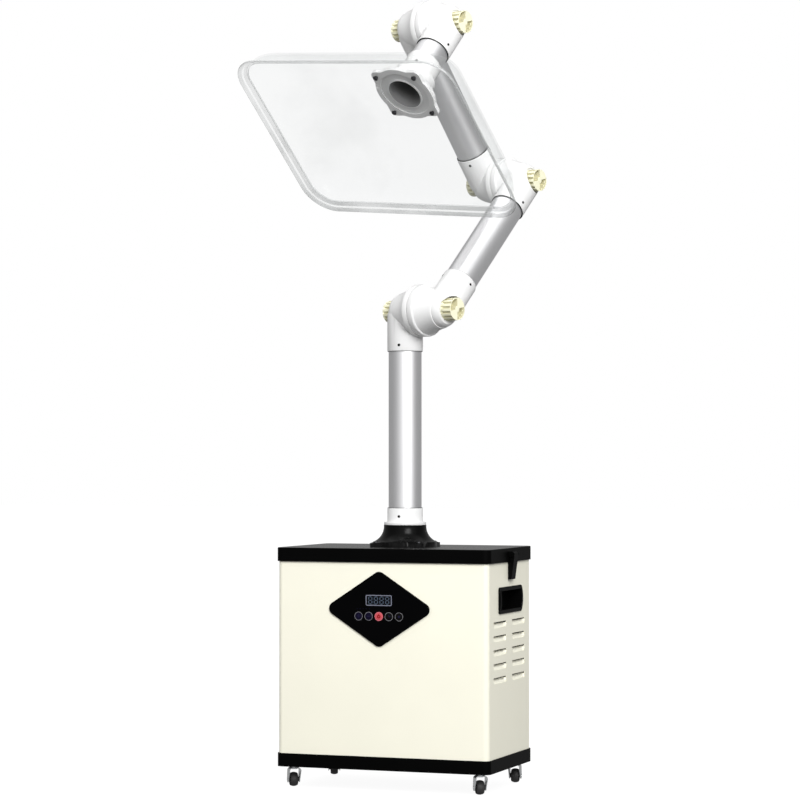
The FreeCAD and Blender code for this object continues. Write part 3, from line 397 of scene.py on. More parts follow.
tube_runs = {
    "column_tube": UP,
    "middle_tube": run_between("shoulder_hinge", "elbow_hinge"),
    "upper_tube": run_between("elbow_hinge", "wrist_hinge"),
    "hood_tube": joint_axis("hood_swivel"),
}
joint_tubes = {
    "shoulder": ("column_tube", "middle_tube"),
    "elbow": ("middle_tube", "upper_tube"),
    "wrist": ("upper_tube", "hood_tube"),
}
half_frames = {}
for joint, tubes in joint_tubes.items():
    hinge = joint_point(joint + "_hinge")
    centres = []
    for tube in tubes:
        run = tube_runs[tube]
        centres.append(middle_of(tube) + run * (hinge - middle_of(tube)).dot(run))
    for side, tube, here, there in zip(("lower", "upper"), tubes, centres, reversed(centres)):
        into_tube = (middle_of(tube) - here).normalized()
        half_frames[joint + "_" + side] = axes(here, (there - here).normalized(), into_tube)
print("joint halves:", len(half_frames))

# %% [markdown]
# ## Tubes
# A tube is a thin-walled cylinder with its end edges broken. It is turned from a section of four points, so
# the wall has its real thickness at the ends and the long faces are smooth. The tubes are drawn and satin
# anodised. Their grain is a noise stretched along the tube, so each tube has its own copy of the finish,
# turned to its own axis.

# %% Satin aluminium tubes
TUBE_R = 0.0375
TUBE_WALL = 0.0015
TUBE_EDGE = 0.0004
STEEP = 0.3
DRAWN_STRETCH = 60.0
ALUMINIUM = (0.80, 0.80, 0.81)


def tube_length(node, run):
    """Length of a round tube from its box: the box also holds the tilted end circles."""
    low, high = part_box(node)
    lengths = []
    for size, share in zip(high - low, run):
        if abs(share) > STEEP:
            lengths.append((size - 2 * TUBE_R * math.sqrt(1 - share * share)) / abs(share))
    return sum(lengths) / len(lengths)


for tube, run in tube_runs.items():
    length = tube_length(tube, run)
    piece = turned(tube.replace("tube", "pipe"), sleeve(TUBE_R - TUBE_WALL, TUBE_R, -length / 2, length / 2))
    round_edges(piece, TUBE_EDGE, 1)
    smooth(piece)
    put(piece, Matrix.Translation(middle_of(tube)) @ run.to_track_quat("Z", "Y").to_matrix().to_4x4())
    satin = finish("satin_aluminium_" + tube, ALUMINIUM, 0.38, 1500, 0.00001, tint=0.015, metallic=1.0,
                   along=run, stretch=DRAWN_STRETCH)
    paint(piece, satin)
    stand_for(piece, tube)
    print(tube, "length", round(length, 4))

# %% [markdown]
# ## Joint halves
# Each half of a joint is one white moulding: a socket for the tube, a ball behind it and a bell that flares
# to the joint's rim. A clamp knob sits in a round pocket on the ball's flat end. The three forms are turned
# one by one, with their edges rounded while the rings are still clean, and then joined with a boolean. That
# leaves the crisp creases where they meet, as on the real moulding. The air room, the bore and the knob's
# pocket are cut out last, and a wall stays between the bore and the pocket.

# %% One moulded joint half
SOCKET_R = 0.0405
SOCKET_REACH = 0.091
TUBE_SEAT = 0.052
TUBE_HOLE_R = TUBE_R + 0.0001
AIR_BORE_R = 0.035
BALL_R = 0.0405
BALL_FLAT = -0.020
BALL_END_R = 0.0335
BALL_SHOULDER = (0.0390, -0.0105)
SOCKET_ROUND = [(0.028, -0.012), (0.0370, -0.002), (0.0405, 0.014)]
ROOM_R = 0.034
POCKET_R = 0.0295
KNOB_SEAT = 0.017
SHELL_WALL = 0.0035
BELL_START = (0.0423, -0.002)
BELL_MIDDLE = (0.0475, 0.018)
BELL_R = 0.0555
RIM_R = 0.0595
RIM_WIDTH = 0.015
RIM_STEP = 0.002
FACE_X = 0.05405
MOULD_EDGE = 0.0008
PAST = 0.002
Z_TO_X = Matrix.Rotation(math.radians(90), 4, "Y")


def thinned(point):
    return (point[0] - SHELL_WALL, point[1])


def on_ball(radius, x):
    return (math.sqrt(radius ** 2 - x ** 2), x)


rim_x = FACE_X - RIM_WIDTH
bell_arc = arc(BELL_START, BELL_MIDDLE, (BELL_R, rim_x))
bell_section = [(0, BELL_START[1])] + bell_arc + [(RIM_R - RIM_STEP, rim_x), (RIM_R, rim_x + RIM_STEP),
                                                  (RIM_R, FACE_X), (0, FACE_X)]
ball_section = [(0, BALL_FLAT)] + arc((BALL_END_R, BALL_FLAT), BALL_SHOULDER, (BALL_R, 0), 20)
ball_section += [(BALL_R, -BALL_FLAT), (0, -BALL_FLAT)]
socket_section = [(0, SOCKET_ROUND[0][1])] + arc(*SOCKET_ROUND) + [(SOCKET_R, SOCKET_REACH), (0, SOCKET_REACH)]
room_floor = SHELL_WALL - KNOB_SEAT
room_section = [(0, room_floor)]
room_section += arc(on_ball(ROOM_R, room_floor), on_ball(ROOM_R, room_floor / 2), (ROOM_R, 0))
room_section += [thinned(point) for point in bell_arc[1:]]
room_section += [thinned((BELL_R, FACE_X + PAST)), (0, FACE_X + PAST)]
bore_section = [(0, 0), (AIR_BORE_R, 0), (AIR_BORE_R, TUBE_SEAT), (TUBE_HOLE_R, TUBE_SEAT),
                (TUBE_HOLE_R, SOCKET_REACH + PAST), (0, SOCKET_REACH + PAST)]
boss_section = rod(POCKET_R + SHELL_WALL, -SOCKET_R, room_floor)
pocket_section = rod(POCKET_R, -SOCKET_R - PAST, -KNOB_SEAT)

joint_half = turned("joint_half", bell_section)
round_edges(joint_half, MOULD_EDGE)
put(joint_half, Z_TO_X)
ball = turned("joint_ball", ball_section)
round_edges(ball, MOULD_EDGE)
combine(joint_half, put(ball, Z_TO_X), "UNION")
socket = turned("tube_socket", socket_section)
round_edges(socket, MOULD_EDGE)
combine(joint_half, socket, "UNION")
combine(joint_half, put(turned("air_room", room_section), Z_TO_X), "DIFFERENCE")
bore = turned("air_bore", bore_section)
combine(bore, put(turned("knob_boss", boss_section), Z_TO_X), "DIFFERENCE")
combine(joint_half, bore, "DIFFERENCE")
combine(joint_half, put(turned("knob_pocket", pocket_section), Z_TO_X), "DIFFERENCE")
smooth(joint_half, 30)
paint(joint_half, WHITE_PLASTIC)
print("joint half faces:", len(joint_half.data.polygons))

# %% Six joint halves
for half, place in half_frames.items():
    piece = put(copied(joint_half, half + "_moulding"), place)
    stand_for(piece, half + "_shell")
bpy.data.objects.remove(joint_half)
print("joint halves placed:", len(half_frames))

# %% [markdown]
# ## Clamp knobs
# The cream knobs are fluted all round, and the flutes stop short of both ends. On a cylinder whose faces
# come in groups of four, two faces of each group are inset and pulled inwards, which leaves a closed slot.
# The face has a broad slanting bar between two deep pockets, so the end cap is inset twice and the ring's
# faces that lie beside the bar are pushed in. The knobs are set so that the bar slants the same way on all
# of them.

# %% One clamp knob
KNOB_R = 0.0255
KNOB_BASE = 0.0002
KNOB_TOP = 0.0292
KNOB_FLUTES = 14
FLUTE_MARGIN = 0.0032
FLUTE_INSET = 0.00128
FLUTE_SHRINK = 0.86
KNOB_RIM = 0.0022
KNOB_HUB_R = 0.0070
BAR_HALF_ANGLE = 38.0
BAR_TURN = 139.0
KNOB_POCKET = 0.013
KNOB_EDGE = 0.0009
SIDES_PER_FLUTE = 4
SUNK_SIDES = 2
LEVEL = 0.9
UPRIGHT = 0.5
Z_TO_MINUS_X = Matrix.Rotation(math.radians(-90), 4, "Y")
knob_sides = KNOB_FLUTES * SIDES_PER_FLUTE
side_turn = 360 / knob_sides


def turn_of(point):
    return math.degrees(math.atan2(point.y, point.x)) % 360


def beside_bar(face):
    """True for a face of the cap's ring that lies beside the bar."""
    point = face.calc_center_median()
    reach = math.hypot(point.x, point.y)
    if face.normal.z < LEVEL or point.z < KNOB_TOP - KNOB_EDGE or not KNOB_HUB_R < reach < KNOB_R - KNOB_RIM:
        return False
    off = (turn_of(point) - BAR_TURN) % 180
    return min(off, 180 - off) > BAR_HALF_ANGLE


def recessed(face):
    """True for the floors and walls of the flutes and pockets, which get a darker cream as painted shade."""
    reach = math.hypot(face.center.x, face.center.y)
    flute = abs(face.normal.z) < UPRIGHT and reach < KNOB_R * (1 + FLUTE_SHRINK) / 2
    pocket = face.center.z < KNOB_TOP - 2 * KNOB_EDGE and reach < KNOB_R - KNOB_RIM
    return face.center.z > KNOB_EDGE and (flute or pocket)


rest()
bpy.ops.mesh.primitive_cylinder_add(vertices=knob_sides, radius=KNOB_R, depth=KNOB_TOP - KNOB_BASE,
                                    location=(0, 0, (KNOB_TOP + KNOB_BASE) / 2))
knob = put(named("clamp_knob"), Matrix.Translation((0, 0, (KNOB_TOP + KNOB_BASE) / 2)))
edit(knob, "FACE")
pick(knob, "faces", lambda face: abs(face.normal.z) < UPRIGHT
     and round(turn_of(face.normal) / side_turn - 0.5) % SIDES_PER_FLUTE < SUNK_SIDES)
bpy.ops.mesh.inset(thickness=FLUTE_INSET, use_even_offset=True)
bpy.ops.transform.resize(value=(1, 1, 1 - 2 * FLUTE_MARGIN / KNOB_TOP), center_override=(0, 0, KNOB_TOP / 2))
bpy.ops.transform.resize(value=(FLUTE_SHRINK, FLUTE_SHRINK, 1), center_override=(0, 0, KNOB_TOP / 2))
pick(knob, "faces", lambda face: face.normal.z > LEVEL and face.calc_center_median().z > KNOB_TOP - KNOB_EDGE)
bpy.ops.mesh.inset(thickness=KNOB_RIM)
bpy.ops.mesh.inset(thickness=KNOB_R - KNOB_RIM - KNOB_HUB_R)
pick(knob, "faces", beside_bar)
bpy.ops.mesh.inset(thickness=KNOB_EDGE)
bpy.ops.transform.translate(value=(0, 0, -KNOB_POCKET))
rest()
round_edges(knob, KNOB_EDGE, 2, 40)
smooth(knob, 40)
paint(knob, KNOB_CREAM)
# The flutes and pockets get the darker cream, painted shade for the shadow in the knob's hollows.
knob.data.materials.append(KNOB_PAINTED_SHADE)
for face in knob.data.polygons:
    face.material_index = int(recessed(face))
put(knob, Matrix.Translation((-KNOB_SEAT, 0, 0)) @ Z_TO_MINUS_X)
print("knob faces:", len(knob.data.polygons))

# %% Six clamp knobs
for half, place in half_frames.items():
    up_here = place.to_3x3().inverted() @ UP
    turn = Matrix.Rotation(-math.atan2(up_here.y, up_here.z), 4, "X")
    piece = put(copied(knob, half + "_grip"), place @ turn)
    stand_for(piece, half + "_knob")
bpy.data.objects.remove(knob)
print("knobs placed:", len(half_frames))

# %% [markdown]
# ## Flanges and collars
# The same square flange holds the column to the lid and the hood to its collar. Its neck is a hollow curve
# turned about the axis, cut to a square with swollen sides, so it is the turned form intersected with that
# outline. The underside has a shallow ring around the bore, which shows through the clear hood.

# %% Bores in painted shade
SHADED_BORE_BAND = 0.0035


def line_bore(piece, look):
    """Gives the faces of a bore about the Z axis a dark grey of their own: painted shade for the shadow inside the
    bore.
    """
    piece.data.materials.append(look)
    for face in piece.data.polygons:
        if math.hypot(face.center.x, face.center.y) < AIR_BORE_R + SHADED_BORE_BAND:
            face.material_index = 1


# %% One square flange
FLANGE_SIDE = 0.130
FLANGE_CORNER = 0.013
FLANGE_SWELL_R = 0.0725
FLANGE_SLAB = 0.009
FLANGE_HEIGHT = 0.049
FLANGE_NECK_R = 0.0485
FLANGE_TOE_R = 0.088
FLANGE_CURVE = 0.27
SPIGOT_R = 0.0396
SPIGOT_DEPTH = 0.0282
RING_IN_R = 0.0420
RING_OUT_R = 0.060
RING_DEPTH = 0.0025
MOUTH_R = 0.0392
MOUTH_DEPTH = 0.008
SCREW_INSET = 0.013
SPOT_R = 0.0054
FLANGE_EDGE = 0.0012
FLANGE_STEPS = 128
FLANGE_CORNER_STEPS = 10
SCREW_STEPS = 32

bend = (FLANGE_TOE_R - FLANGE_NECK_R) * FLANGE_CURVE
neck_middle = (FLANGE_NECK_R + bend, FLANGE_SLAB + (FLANGE_HEIGHT - FLANGE_SLAB) * FLANGE_CURVE)
seat = FLANGE_HEIGHT - SPIGOT_DEPTH
flange_section = [(MOUTH_R, 0), (RING_IN_R, 0), (RING_IN_R, RING_DEPTH), (RING_OUT_R, RING_DEPTH),
                  (RING_OUT_R, 0), (FLANGE_TOE_R, 0)]
flange_section += arc((FLANGE_TOE_R, FLANGE_SLAB), neck_middle, (FLANGE_NECK_R, FLANGE_HEIGHT), 20)
flange_section += [(SPIGOT_R, FLANGE_HEIGHT), (SPIGOT_R, seat), (AIR_BORE_R, seat)]
flange_section += [(AIR_BORE_R, MOUTH_DEPTH), (MOUTH_R, 0)]
screw_reach = FLANGE_SIDE / 2 - SCREW_INSET
screw_places = [(x, y) for x in (-screw_reach, screw_reach) for y in (-screw_reach, screw_reach)]

flange = turned("square_flange", flange_section, FLANGE_STEPS)
outline = plate("flange_outline", FLANGE_SIDE, FLANGE_SIDE, FLANGE_CORNER, FLANGE_CORNER_STEPS)
bpy.ops.transform.translate(value=(0, 0, -PAST))
bpy.ops.mesh.extrude_region_move(TRANSFORM_OT_translate={"value": (0, 0, FLANGE_HEIGHT + 2 * PAST)})
face_out()
swell = turned("flange_swell", rod(FLANGE_SWELL_R, -PAST, FLANGE_HEIGHT + PAST), FLANGE_STEPS)
combine(outline, swell, "UNION")
combine(flange, outline, "INTERSECT")
for x, y in screw_places:
    spot = turned("screw_spot", rod(SPOT_R, FLANGE_SLAB, FLANGE_HEIGHT), SCREW_STEPS)
    combine(flange, put(spot, Matrix.Translation((x, y, 0))), "DIFFERENCE")
round_edges(flange, FLANGE_EDGE, 2, 40)
smooth(flange, 35)
print("flange faces:", len(flange.data.polygons))

# %% Flanges on the lid and on the hood
HOOD_TURN = math.radians(-7.4)
hood_down = joint_axis("hood_swivel")
hood_across = Matrix.Rotation(HOOD_TURN, 3, hood_down) @ -joint_axis("shoulder_hinge")
hood_frame = axes(joint_point("hood_swivel"), hood_across, -hood_down)
lid_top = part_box("lid")[1].z
column_frame = Matrix.Translation((0, 0, lid_top))
flange_frames = {"column_flange": column_frame, "hood_flange": hood_frame}
flange_looks = {
    "column_flange": (FLANGE_BLACK, "flange_black"),
    "hood_flange": (WHITE_PLASTIC, "white_plastic"),
}
for node, place in flange_frames.items():
    look, slot = flange_looks[node]
    piece = paint(copied(flange, node.replace("flange", "foot")), look)
    line_bore(piece, BORE_PAINTED_SHADE)
    put(piece, place)
    stand_for(piece, node)
bpy.data.objects.remove(flange)
print("flanges at", [tuple(round(v, 3) for v in place.translation) for place in flange_frames.values()])

# %% [markdown]
# A collar turns in each flange and holds the end of a tube. It is a simple turned sleeve with a rim. The
# two collars differ only in height.

# %% Collars
COLLAR_RIM_R = 0.048
COLLAR_RIM_HEIGHT = 0.007
COLLAR_GAP = 0.0002
COLLAR_HEIGHTS = {"column_collar": 0.0385, "hood_collar": 0.052}
SPIGOT_LENGTH = 0.028
collar_frames = {
    "column_collar": column_frame @ Matrix.Translation((0, 0, FLANGE_HEIGHT)),
    "hood_collar": hood_frame @ Matrix.Translation((0, 0, FLANGE_HEIGHT)),
}
for node, height in COLLAR_HEIGHTS.items():
    spigot = SPIGOT_R - COLLAR_GAP
    section = [(AIR_BORE_R, -SPIGOT_LENGTH), (spigot, -SPIGOT_LENGTH), (spigot, COLLAR_GAP),
               (COLLAR_RIM_R, COLLAR_GAP), (COLLAR_RIM_R, COLLAR_RIM_HEIGHT), (SOCKET_R, COLLAR_RIM_HEIGHT),
               (SOCKET_R, height), (TUBE_HOLE_R, height), (TUBE_HOLE_R, COLLAR_RIM_HEIGHT),
               (AIR_BORE_R, COLLAR_RIM_HEIGHT), (AIR_BORE_R, -SPIGOT_LENGTH)]
    piece = turned(node.replace("collar", "sleeve"), section)
    round_edges(piece, MOULD_EDGE)
    smooth(piece, 30)
    paint(piece, WHITE_PLASTIC)
    line_bore(piece, BORE_PAINTED_SHADE)
    put(piece, collar_frames[node])
    stand_for(piece, node)
print("collars:", len(COLLAR_HEIGHTS))

# %% [markdown]
# ## Screws
# The flanges are held by cap screws with a hexagon socket. The head is turned, and a second, six-sided
# turned form is cut out of it. Nuts hold the hood's screws from inside.

# %% Cap screws and nuts
HEAD_R = 0.005
HEAD_HEIGHT = 0.0035
SHANK_R = 0.003
SCREW_EDGE = 0.0005
KEY_HOLE_R = 0.0029
KEY_HOLE_DEPTH = 0.0024
NUT_R = 0.0062
NUT_HEIGHT = 0.003
NUT_EDGE = 0.0004
HEXAGON = 6
HOOD_WALL = 0.004
SCREW_DEPTHS = {"column_flange": 0.012, "hood_flange": 0.0075}


def cap_screw(depth):
    """A screw whose head stands on the flange's slab, with its shank down through it."""
    top = FLANGE_SLAB + HEAD_HEIGHT
    section = [(0, -depth), (SHANK_R, -depth), (SHANK_R, FLANGE_SLAB), (HEAD_R, FLANGE_SLAB),
               (HEAD_R, top), (0, top)]
    screw = turned("cap_screw", section, SCREW_STEPS)
    round_edges(screw, SCREW_EDGE)
    combine(screw, turned("key_hole", rod(KEY_HOLE_R, top - KEY_HOLE_DEPTH, top + PAST), HEXAGON), "DIFFERENCE")
    return smooth(screw)


def at_screws(place):
    """Placements of a flange's four screws."""
    return [place @ Matrix.Translation((x, y, 0)) for x, y in screw_places]


for node, screws in (("column_flange", "flange_screws"), ("hood_flange", "hood_screws")):
    name = screws.replace("screws", "cap_screws")
    group = copies(cap_screw(SCREW_DEPTHS[node]), at_screws(flange_frames[node]), name)
    stand_for(paint(group, DARK_STEEL), screws)
nut = turned("nut", sleeve(SHANK_R, NUT_R, -HOOD_WALL - NUT_HEIGHT, -HOOD_WALL), HEXAGON)
round_edges(nut, NUT_EDGE)
nut_group = copies(nut, at_screws(hood_frame), "hood_nuts")
ride_with(paint(nut_group, DARK_STEEL), body_of["hood"])
print("screws and nuts:", 3 * len(screw_places))

# %% [markdown]
# ## Grub screws
# Three small grub screws in each socket hold the tube. They are dark dots in the white plastic, and their
# spacing is the same all round, so one is turned and set round each socket, starting from the side that
# shows. A thin black ring at the mouth of the socket round the tube is painted shadow, for the shade in the
# gap between the tube and the socket.

# %% Grub screws in the sockets
GRUB_R = 0.0032
GRUB_LENGTH = 0.004
GRUB_PROUD = 0.0003
GRUB_KEY_R = 0.0017
GRUB_KEY_DEPTH = 0.0002
GRUB_RISE = 0.078
COLLAR_GRUB_RISE = 0.020
GRUBS = 3
GRUB_STEPS = 18
# The thin black ring at a socket's mouth is painted shadow for the gap round the tube.
SHADOW_RING_SINK = 0.001
SHADOW_RING_PROUD = 0.0010
SHADOW_RING_EDGE = 0.0008

grub_face = SOCKET_R + GRUB_PROUD
grub_end = grub_face - GRUB_LENGTH
key_floor = grub_face - GRUB_KEY_DEPTH
grub = turned("grub", [(0, grub_end), (GRUB_R, grub_end), (GRUB_R, grub_face), (GRUB_KEY_R, grub_face),
                       (GRUB_KEY_R, key_floor), (0, key_floor)], GRUB_STEPS)
round_edges(grub, GRUB_KEY_DEPTH / 2, 1)
smooth(grub)


def mouth_seal(place, mouth):
    """A thin black ring between a tube and the mouth of its socket: painted shadow for the gap there."""
    seal = turned("mouth_seal", sleeve(TUBE_R, SOCKET_R - SHADOW_RING_EDGE, mouth - SHADOW_RING_SINK, mouth + SHADOW_RING_PROUD))
    round_edges(seal, SHADOW_RING_EDGE / 2, 1)
    return put(smooth(seal), place)


def grub_ring(name, place, rise, start, mouth):
    """A socket's painted shadow ring and its three grub screws, the first one turned from x by start degrees."""
    made = [mouth_seal(place, mouth)]
    for n in range(GRUBS):
        around = Matrix.Rotation(math.radians(start + n * 360 / GRUBS), 4, "Z")
        made.append(put(copied(grub, "grub_copy"), place @ Matrix.Translation((0, 0, rise)) @ around @ Z_TO_X))
    return paint(joined(made, name), BLACK_METAL)


def turn_towards(place, direction, more=0.0):
    """Degrees about a frame's z axis from its x axis to a direction."""
    local = place.to_3x3().inverted() @ direction
    return math.degrees(math.atan2(local.y, local.x)) + more


GRUB_TURNS = {"shoulder_lower": 0, "shoulder_upper": 60, "elbow_lower": 60, "elbow_upper": -10,
              "wrist_lower": 60, "wrist_upper": 60}
for half, more in GRUB_TURNS.items():
    place = half_frames[half]
    ring = grub_ring(half + "_grubs", place, GRUB_RISE, turn_towards(place, FRONT, more), SOCKET_REACH)
    ride_with(ring, body_of[half + "_shell"])
for node, place in collar_frames.items():
    ring = grub_ring(node + "_grubs", place, COLLAR_GRUB_RISE, turn_towards(place, FRONT), COLLAR_HEIGHTS[node])
    ride_with(ring, body_of[node])
bpy.data.objects.remove(grub)
print("grub screws:", GRUBS * (len(GRUB_TURNS) + len(collar_frames)))

# %% [markdown]
# ## Clear hood
# The hood is one sheet of clear acrylic drawn over a form: a flared lip, steep walls and a crown with the
# flange's bore. A plane with rounded corners is added for every level of the form and only its outline
# kept. Bridging the outlines gives one sheet, and Solidify gives it the real wall.

# %% Acrylic
CLEAR_TINT = (0.984, 0.987, 0.987)
ACRYLIC_GREY = (0.50, 0.51, 0.51)
ACRYLIC_ROUGHNESS = 0.06
ACRYLIC_IOR = 1.49
EDGE_POWER = 4.0
CLOUD_DETAIL = 3
CLOUD_RANGE = (0.45, 0.75)
hood_low, hood_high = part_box("hood")


def ranged(tree, source, span, result):
    """Maps a value from one span to another."""
    values = dict(zip(("From Min", "From Max", "To Min", "To Max"), (*span, *result)))
    node = added(tree, "MapRange", values)
    tree.links.new(source, node.inputs["Value"])
    return node.outputs["Result"]


def acrylic_finish(name, haze_range, edge_share, cloud_scale, low_gain=1.0):
    """Clear sheet that is greyer where it is seen edge on, with faint clouds, and greyer towards its low side."""
    made = bpy.data.materials.new(name)
    made.use_nodes = True
    tree = made.node_tree
    link = tree.links.new
    gloss = shader_of(made)
    gloss.inputs["Base Color"].default_value = (*ACRYLIC_GREY, 1)
    gloss.inputs["Roughness"].default_value = ACRYLIC_ROUGHNESS
    gloss.inputs["IOR"].default_value = ACRYLIC_IOR
    clear = added(tree, "BsdfTransparent", {"Color": (*CLEAR_TINT, 1)})
    place = added(tree, "TexCoord")
    clouds = added(tree, "TexNoise", {"Scale": cloud_scale, "Detail": CLOUD_DETAIL})
    link(place.outputs["Object"], clouds.inputs["Vector"])
    rise = added(tree, "SeparateXYZ")
    link(place.outputs["Object"], rise.inputs["Vector"])
    thick = added(tree, "Math", operation="MULTIPLY")
    link(ranged(tree, clouds.outputs["Fac"], CLOUD_RANGE, haze_range), thick.inputs[0])
    link(ranged(tree, rise.outputs["Z"], (hood_high.z, hood_low.z), (1.0, low_gain)), thick.inputs[1])
    facing = added(tree, "LayerWeight")
    edge = added(tree, "Math", {1: EDGE_POWER}, "POWER")
    link(facing.outputs["Facing"], edge.inputs[0])
    share = added(tree, "Math", {1: edge_share}, "MULTIPLY_ADD")
    link(edge.outputs["Value"], share.inputs[0])
    link(thick.outputs["Value"], share.inputs[2])
    mix = added(tree, "MixShader")
    link(share.outputs["Value"], mix.inputs["Fac"])
    link(clear.outputs["BSDF"], mix.inputs[1])
    link(gloss.outputs["BSDF"], mix.inputs[2])
    link(mix.outputs["Shader"], tree.nodes["Material Output"].inputs["Surface"])
    return made


ACRYLIC = acrylic_finish("clear_acrylic_sheet", (0.03, 0.09), 0.06, 5, 2.4)
# The lip's greyer sheet is painted shade, and the edge finish paints dark lines where the sheet's edges bend the
# light.
ACRYLIC_LIP_SHADE = acrylic_finish("clear_acrylic_lip", (0.11, 0.22), 0.15, 9, 3.0)
ACRYLIC_EDGE_LINE = acrylic_finish("clear_acrylic_edge", (0.60, 0.70), 0.2, 9)
print("hood from z", round(hood_low.z, 3), "to", round(hood_high.z, 3))

# %% Hood sheet
HOOD_LENGTH = 0.581
HOOD_WIDTH = 0.457
HOOD_DEPTH = 0.151
HOOD_CORNER = 0.070
HOOD_LIP = 0.017
CROWN_LENGTH = 0.325
CROWN_WIDTH = 0.176
HOOD_PROFILE = [(0.0, 0.0), (0.2, 0.024), (0.4, 0.174), (0.56, 0.364), (0.78, 0.632), (0.93, 0.854), (1.0, 1.0)]
HOOD_STEPS = 5
LIP_DROOP = 0.0006
LIP_FLARE = 0.014
LIP_LINES = (0.0, 0.40, 0.58)
FOOT_BAND = 0.4
BORE_RISE = 0.0003
HOOD_EDGE = 0.0012
CORNER_SEGMENTS = 14
BORE_STEPS = 4 * (CORNER_SEGMENTS + 1)


def between(points, share):
    """A smooth curve through four points, between the second and the third."""
    a, b, c, d = (Vector(point) for point in points)
    return (b * 2 + (c - a) * share + (a * 2 - b * 5 + c * 4 - d) * share ** 2
            + (b * 3 - a - c * 3 + d) * share ** 3) / 2


def hood_curve():
    """The profile with a few smooth steps between its points."""
    ends = [HOOD_PROFILE[0]] + HOOD_PROFILE + [HOOD_PROFILE[-1]]
    curve = []
    for n in range(len(HOOD_PROFILE) - 1):
        curve += [between(ends[n:n + 4], step / HOOD_STEPS) for step in range(HOOD_STEPS)]
    return curve + [Vector(HOOD_PROFILE[-1])]


def add_outline(length, width, radius, z):
    """Adds one rounded outline to the mesh in edit mode."""
    bpy.ops.mesh.select_all(action="DESELECT")
    bpy.ops.mesh.primitive_plane_add(size=1.0, location=(0, 0, 0))
    bpy.ops.transform.resize(value=(length, width, 1), center_override=(0, 0, 0))
    bpy.ops.transform.translate(value=(0, 0, z))
    bpy.ops.mesh.bevel(offset=radius, segments=CORNER_SEGMENTS, affect="VERTICES")


def sheet_look(z):
    """Finish of a face by its height: 0 for walls and for a painted highlight line along the lip, 1 for the lip's
    painted shade, 2 for a painted dark line at the foot of the walls.
    """
    line = (z - lip_top) / LIP_FLARE
    if line > 1:
        return 2 if line < 1 + FOOT_BAND else 0
    return 0 if LIP_LINES[1] < line < LIP_LINES[2] else 1


body_length = HOOD_LENGTH - 2 * HOOD_LIP
body_width = HOOD_WIDTH - 2 * HOOD_LIP
body_corner = HOOD_CORNER - HOOD_LIP
lip_top = -HOOD_DEPTH + HOOD_WALL
wall_foot = lip_top + LIP_FLARE
levels = []
for line in LIP_LINES:
    inset = line * HOOD_LIP
    levels.append((HOOD_LENGTH - 2 * inset, HOOD_WIDTH - 2 * inset, HOOD_CORNER - inset,
                   lip_top - LIP_DROOP + line * (LIP_FLARE + LIP_DROOP)))
for height, share in hood_curve():
    length = body_length - share * (body_length - CROWN_LENGTH)
    width = body_width - share * (body_width - CROWN_WIDTH)
    levels.append((length, width, body_corner, wall_foot * (1 - height)))
rest()
bpy.ops.mesh.primitive_circle_add(vertices=BORE_STEPS, radius=MOUTH_R, fill_type="NOTHING",
                                  location=(0, 0, BORE_RISE))
hood = put(named("hood_sheet"), Matrix.Translation((0, 0, BORE_RISE)))
edit(hood)
for length, width, radius, z in levels:
    add_outline(length, width, radius, z)
select_whole()
bpy.ops.mesh.delete(type="ONLY_FACE")
select_whole()
bpy.ops.mesh.bridge_edge_loops()
face_out(inside=True)
rest()
for look in (ACRYLIC, ACRYLIC_LIP_SHADE, ACRYLIC_EDGE_LINE):
    hood.data.materials.append(look)
# The lip gets painted shade, one band along it stays clear as a painted highlight, and the foot of the walls gets
# a painted dark line.
for face in hood.data.polygons:
    face.material_index = sheet_look(face.center.z)
# The cut edges take the next finish up, so the lip's rim gets the painted dark line.
modify(hood, "SOLIDIFY", thickness=HOOD_WALL, offset=-1, use_even_offset=True, material_offset_rim=1)
round_edges(hood, HOOD_EDGE, 2, 50)
smooth(hood, 40)
put(hood, hood_frame)
stand_for(hood, "hood")
print("hood faces:", len(hood.data.polygons), "levels:", len(levels))

# %% [markdown]
# ## Control panel
# The panel is a thin black rhombus with a display and five touch keys. The plate is the solid's own shape
# with its edges rounded. What is printed on it is made as very thin raised pieces, so that it is real
# geometry: a grey frame round the display, four seven-segment digits, a ring round each key, a plain sign on
# each key and a row of small dots above them.


# %% Rounded copies of flat-sided solids
FLAT_ANGLE = math.radians(0.5)
PANEL_EDGE = 0.0006


def rejoined(node, name):
    """A copy of a solid with its flat faces rejoined."""
    piece = bpy.data.objects.new(name, nodes[node].data.copy())
    bpy.context.scene.collection.objects.link(piece)
    edit(piece)
    select_whole()
    bpy.ops.mesh.customdata_custom_splitnormals_clear()
    bpy.ops.mesh.remove_doubles(threshold=MERGE)
    bpy.ops.mesh.dissolve_limited(angle_limit=FLAT_ANGLE)
    rest()
    return piece


def shaded_flat(piece):
    """Keeps the large faces of a rounded piece flat in their shading."""
    smooth(piece, 30)
    modify(piece, "WEIGHTED_NORMAL", keep_sharp=True)
    return piece


def softened(node, width, name):
    """A copy of a solid with its edges rounded."""
    piece = rejoined(node, name)
    round_edges(piece, width, 2, 40)
    return shaded_flat(piece)


panel_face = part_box("control_panel")[0].y
panel = paint(softened("control_panel", PANEL_EDGE, "panel_plate"), PANEL_BLACK)
stand_for(panel, "control_panel")
print("panel face at y", round(panel_face, 4))

# %% Printed marks: helpers
PRINT_THICK = 0.00015
PRINT_SINK = 0.00005
PRINT_STEPS = 48
BAR_CUT = 0.35


def on_panel(piece, x, y, z):
    """Stands a flat piece, drawn in XY and facing +Z, on a plane of the panel that faces the front."""
    return put(piece, Matrix.Translation((x, y, z)) @ Matrix.Rotation(math.radians(90), 4, "X"))


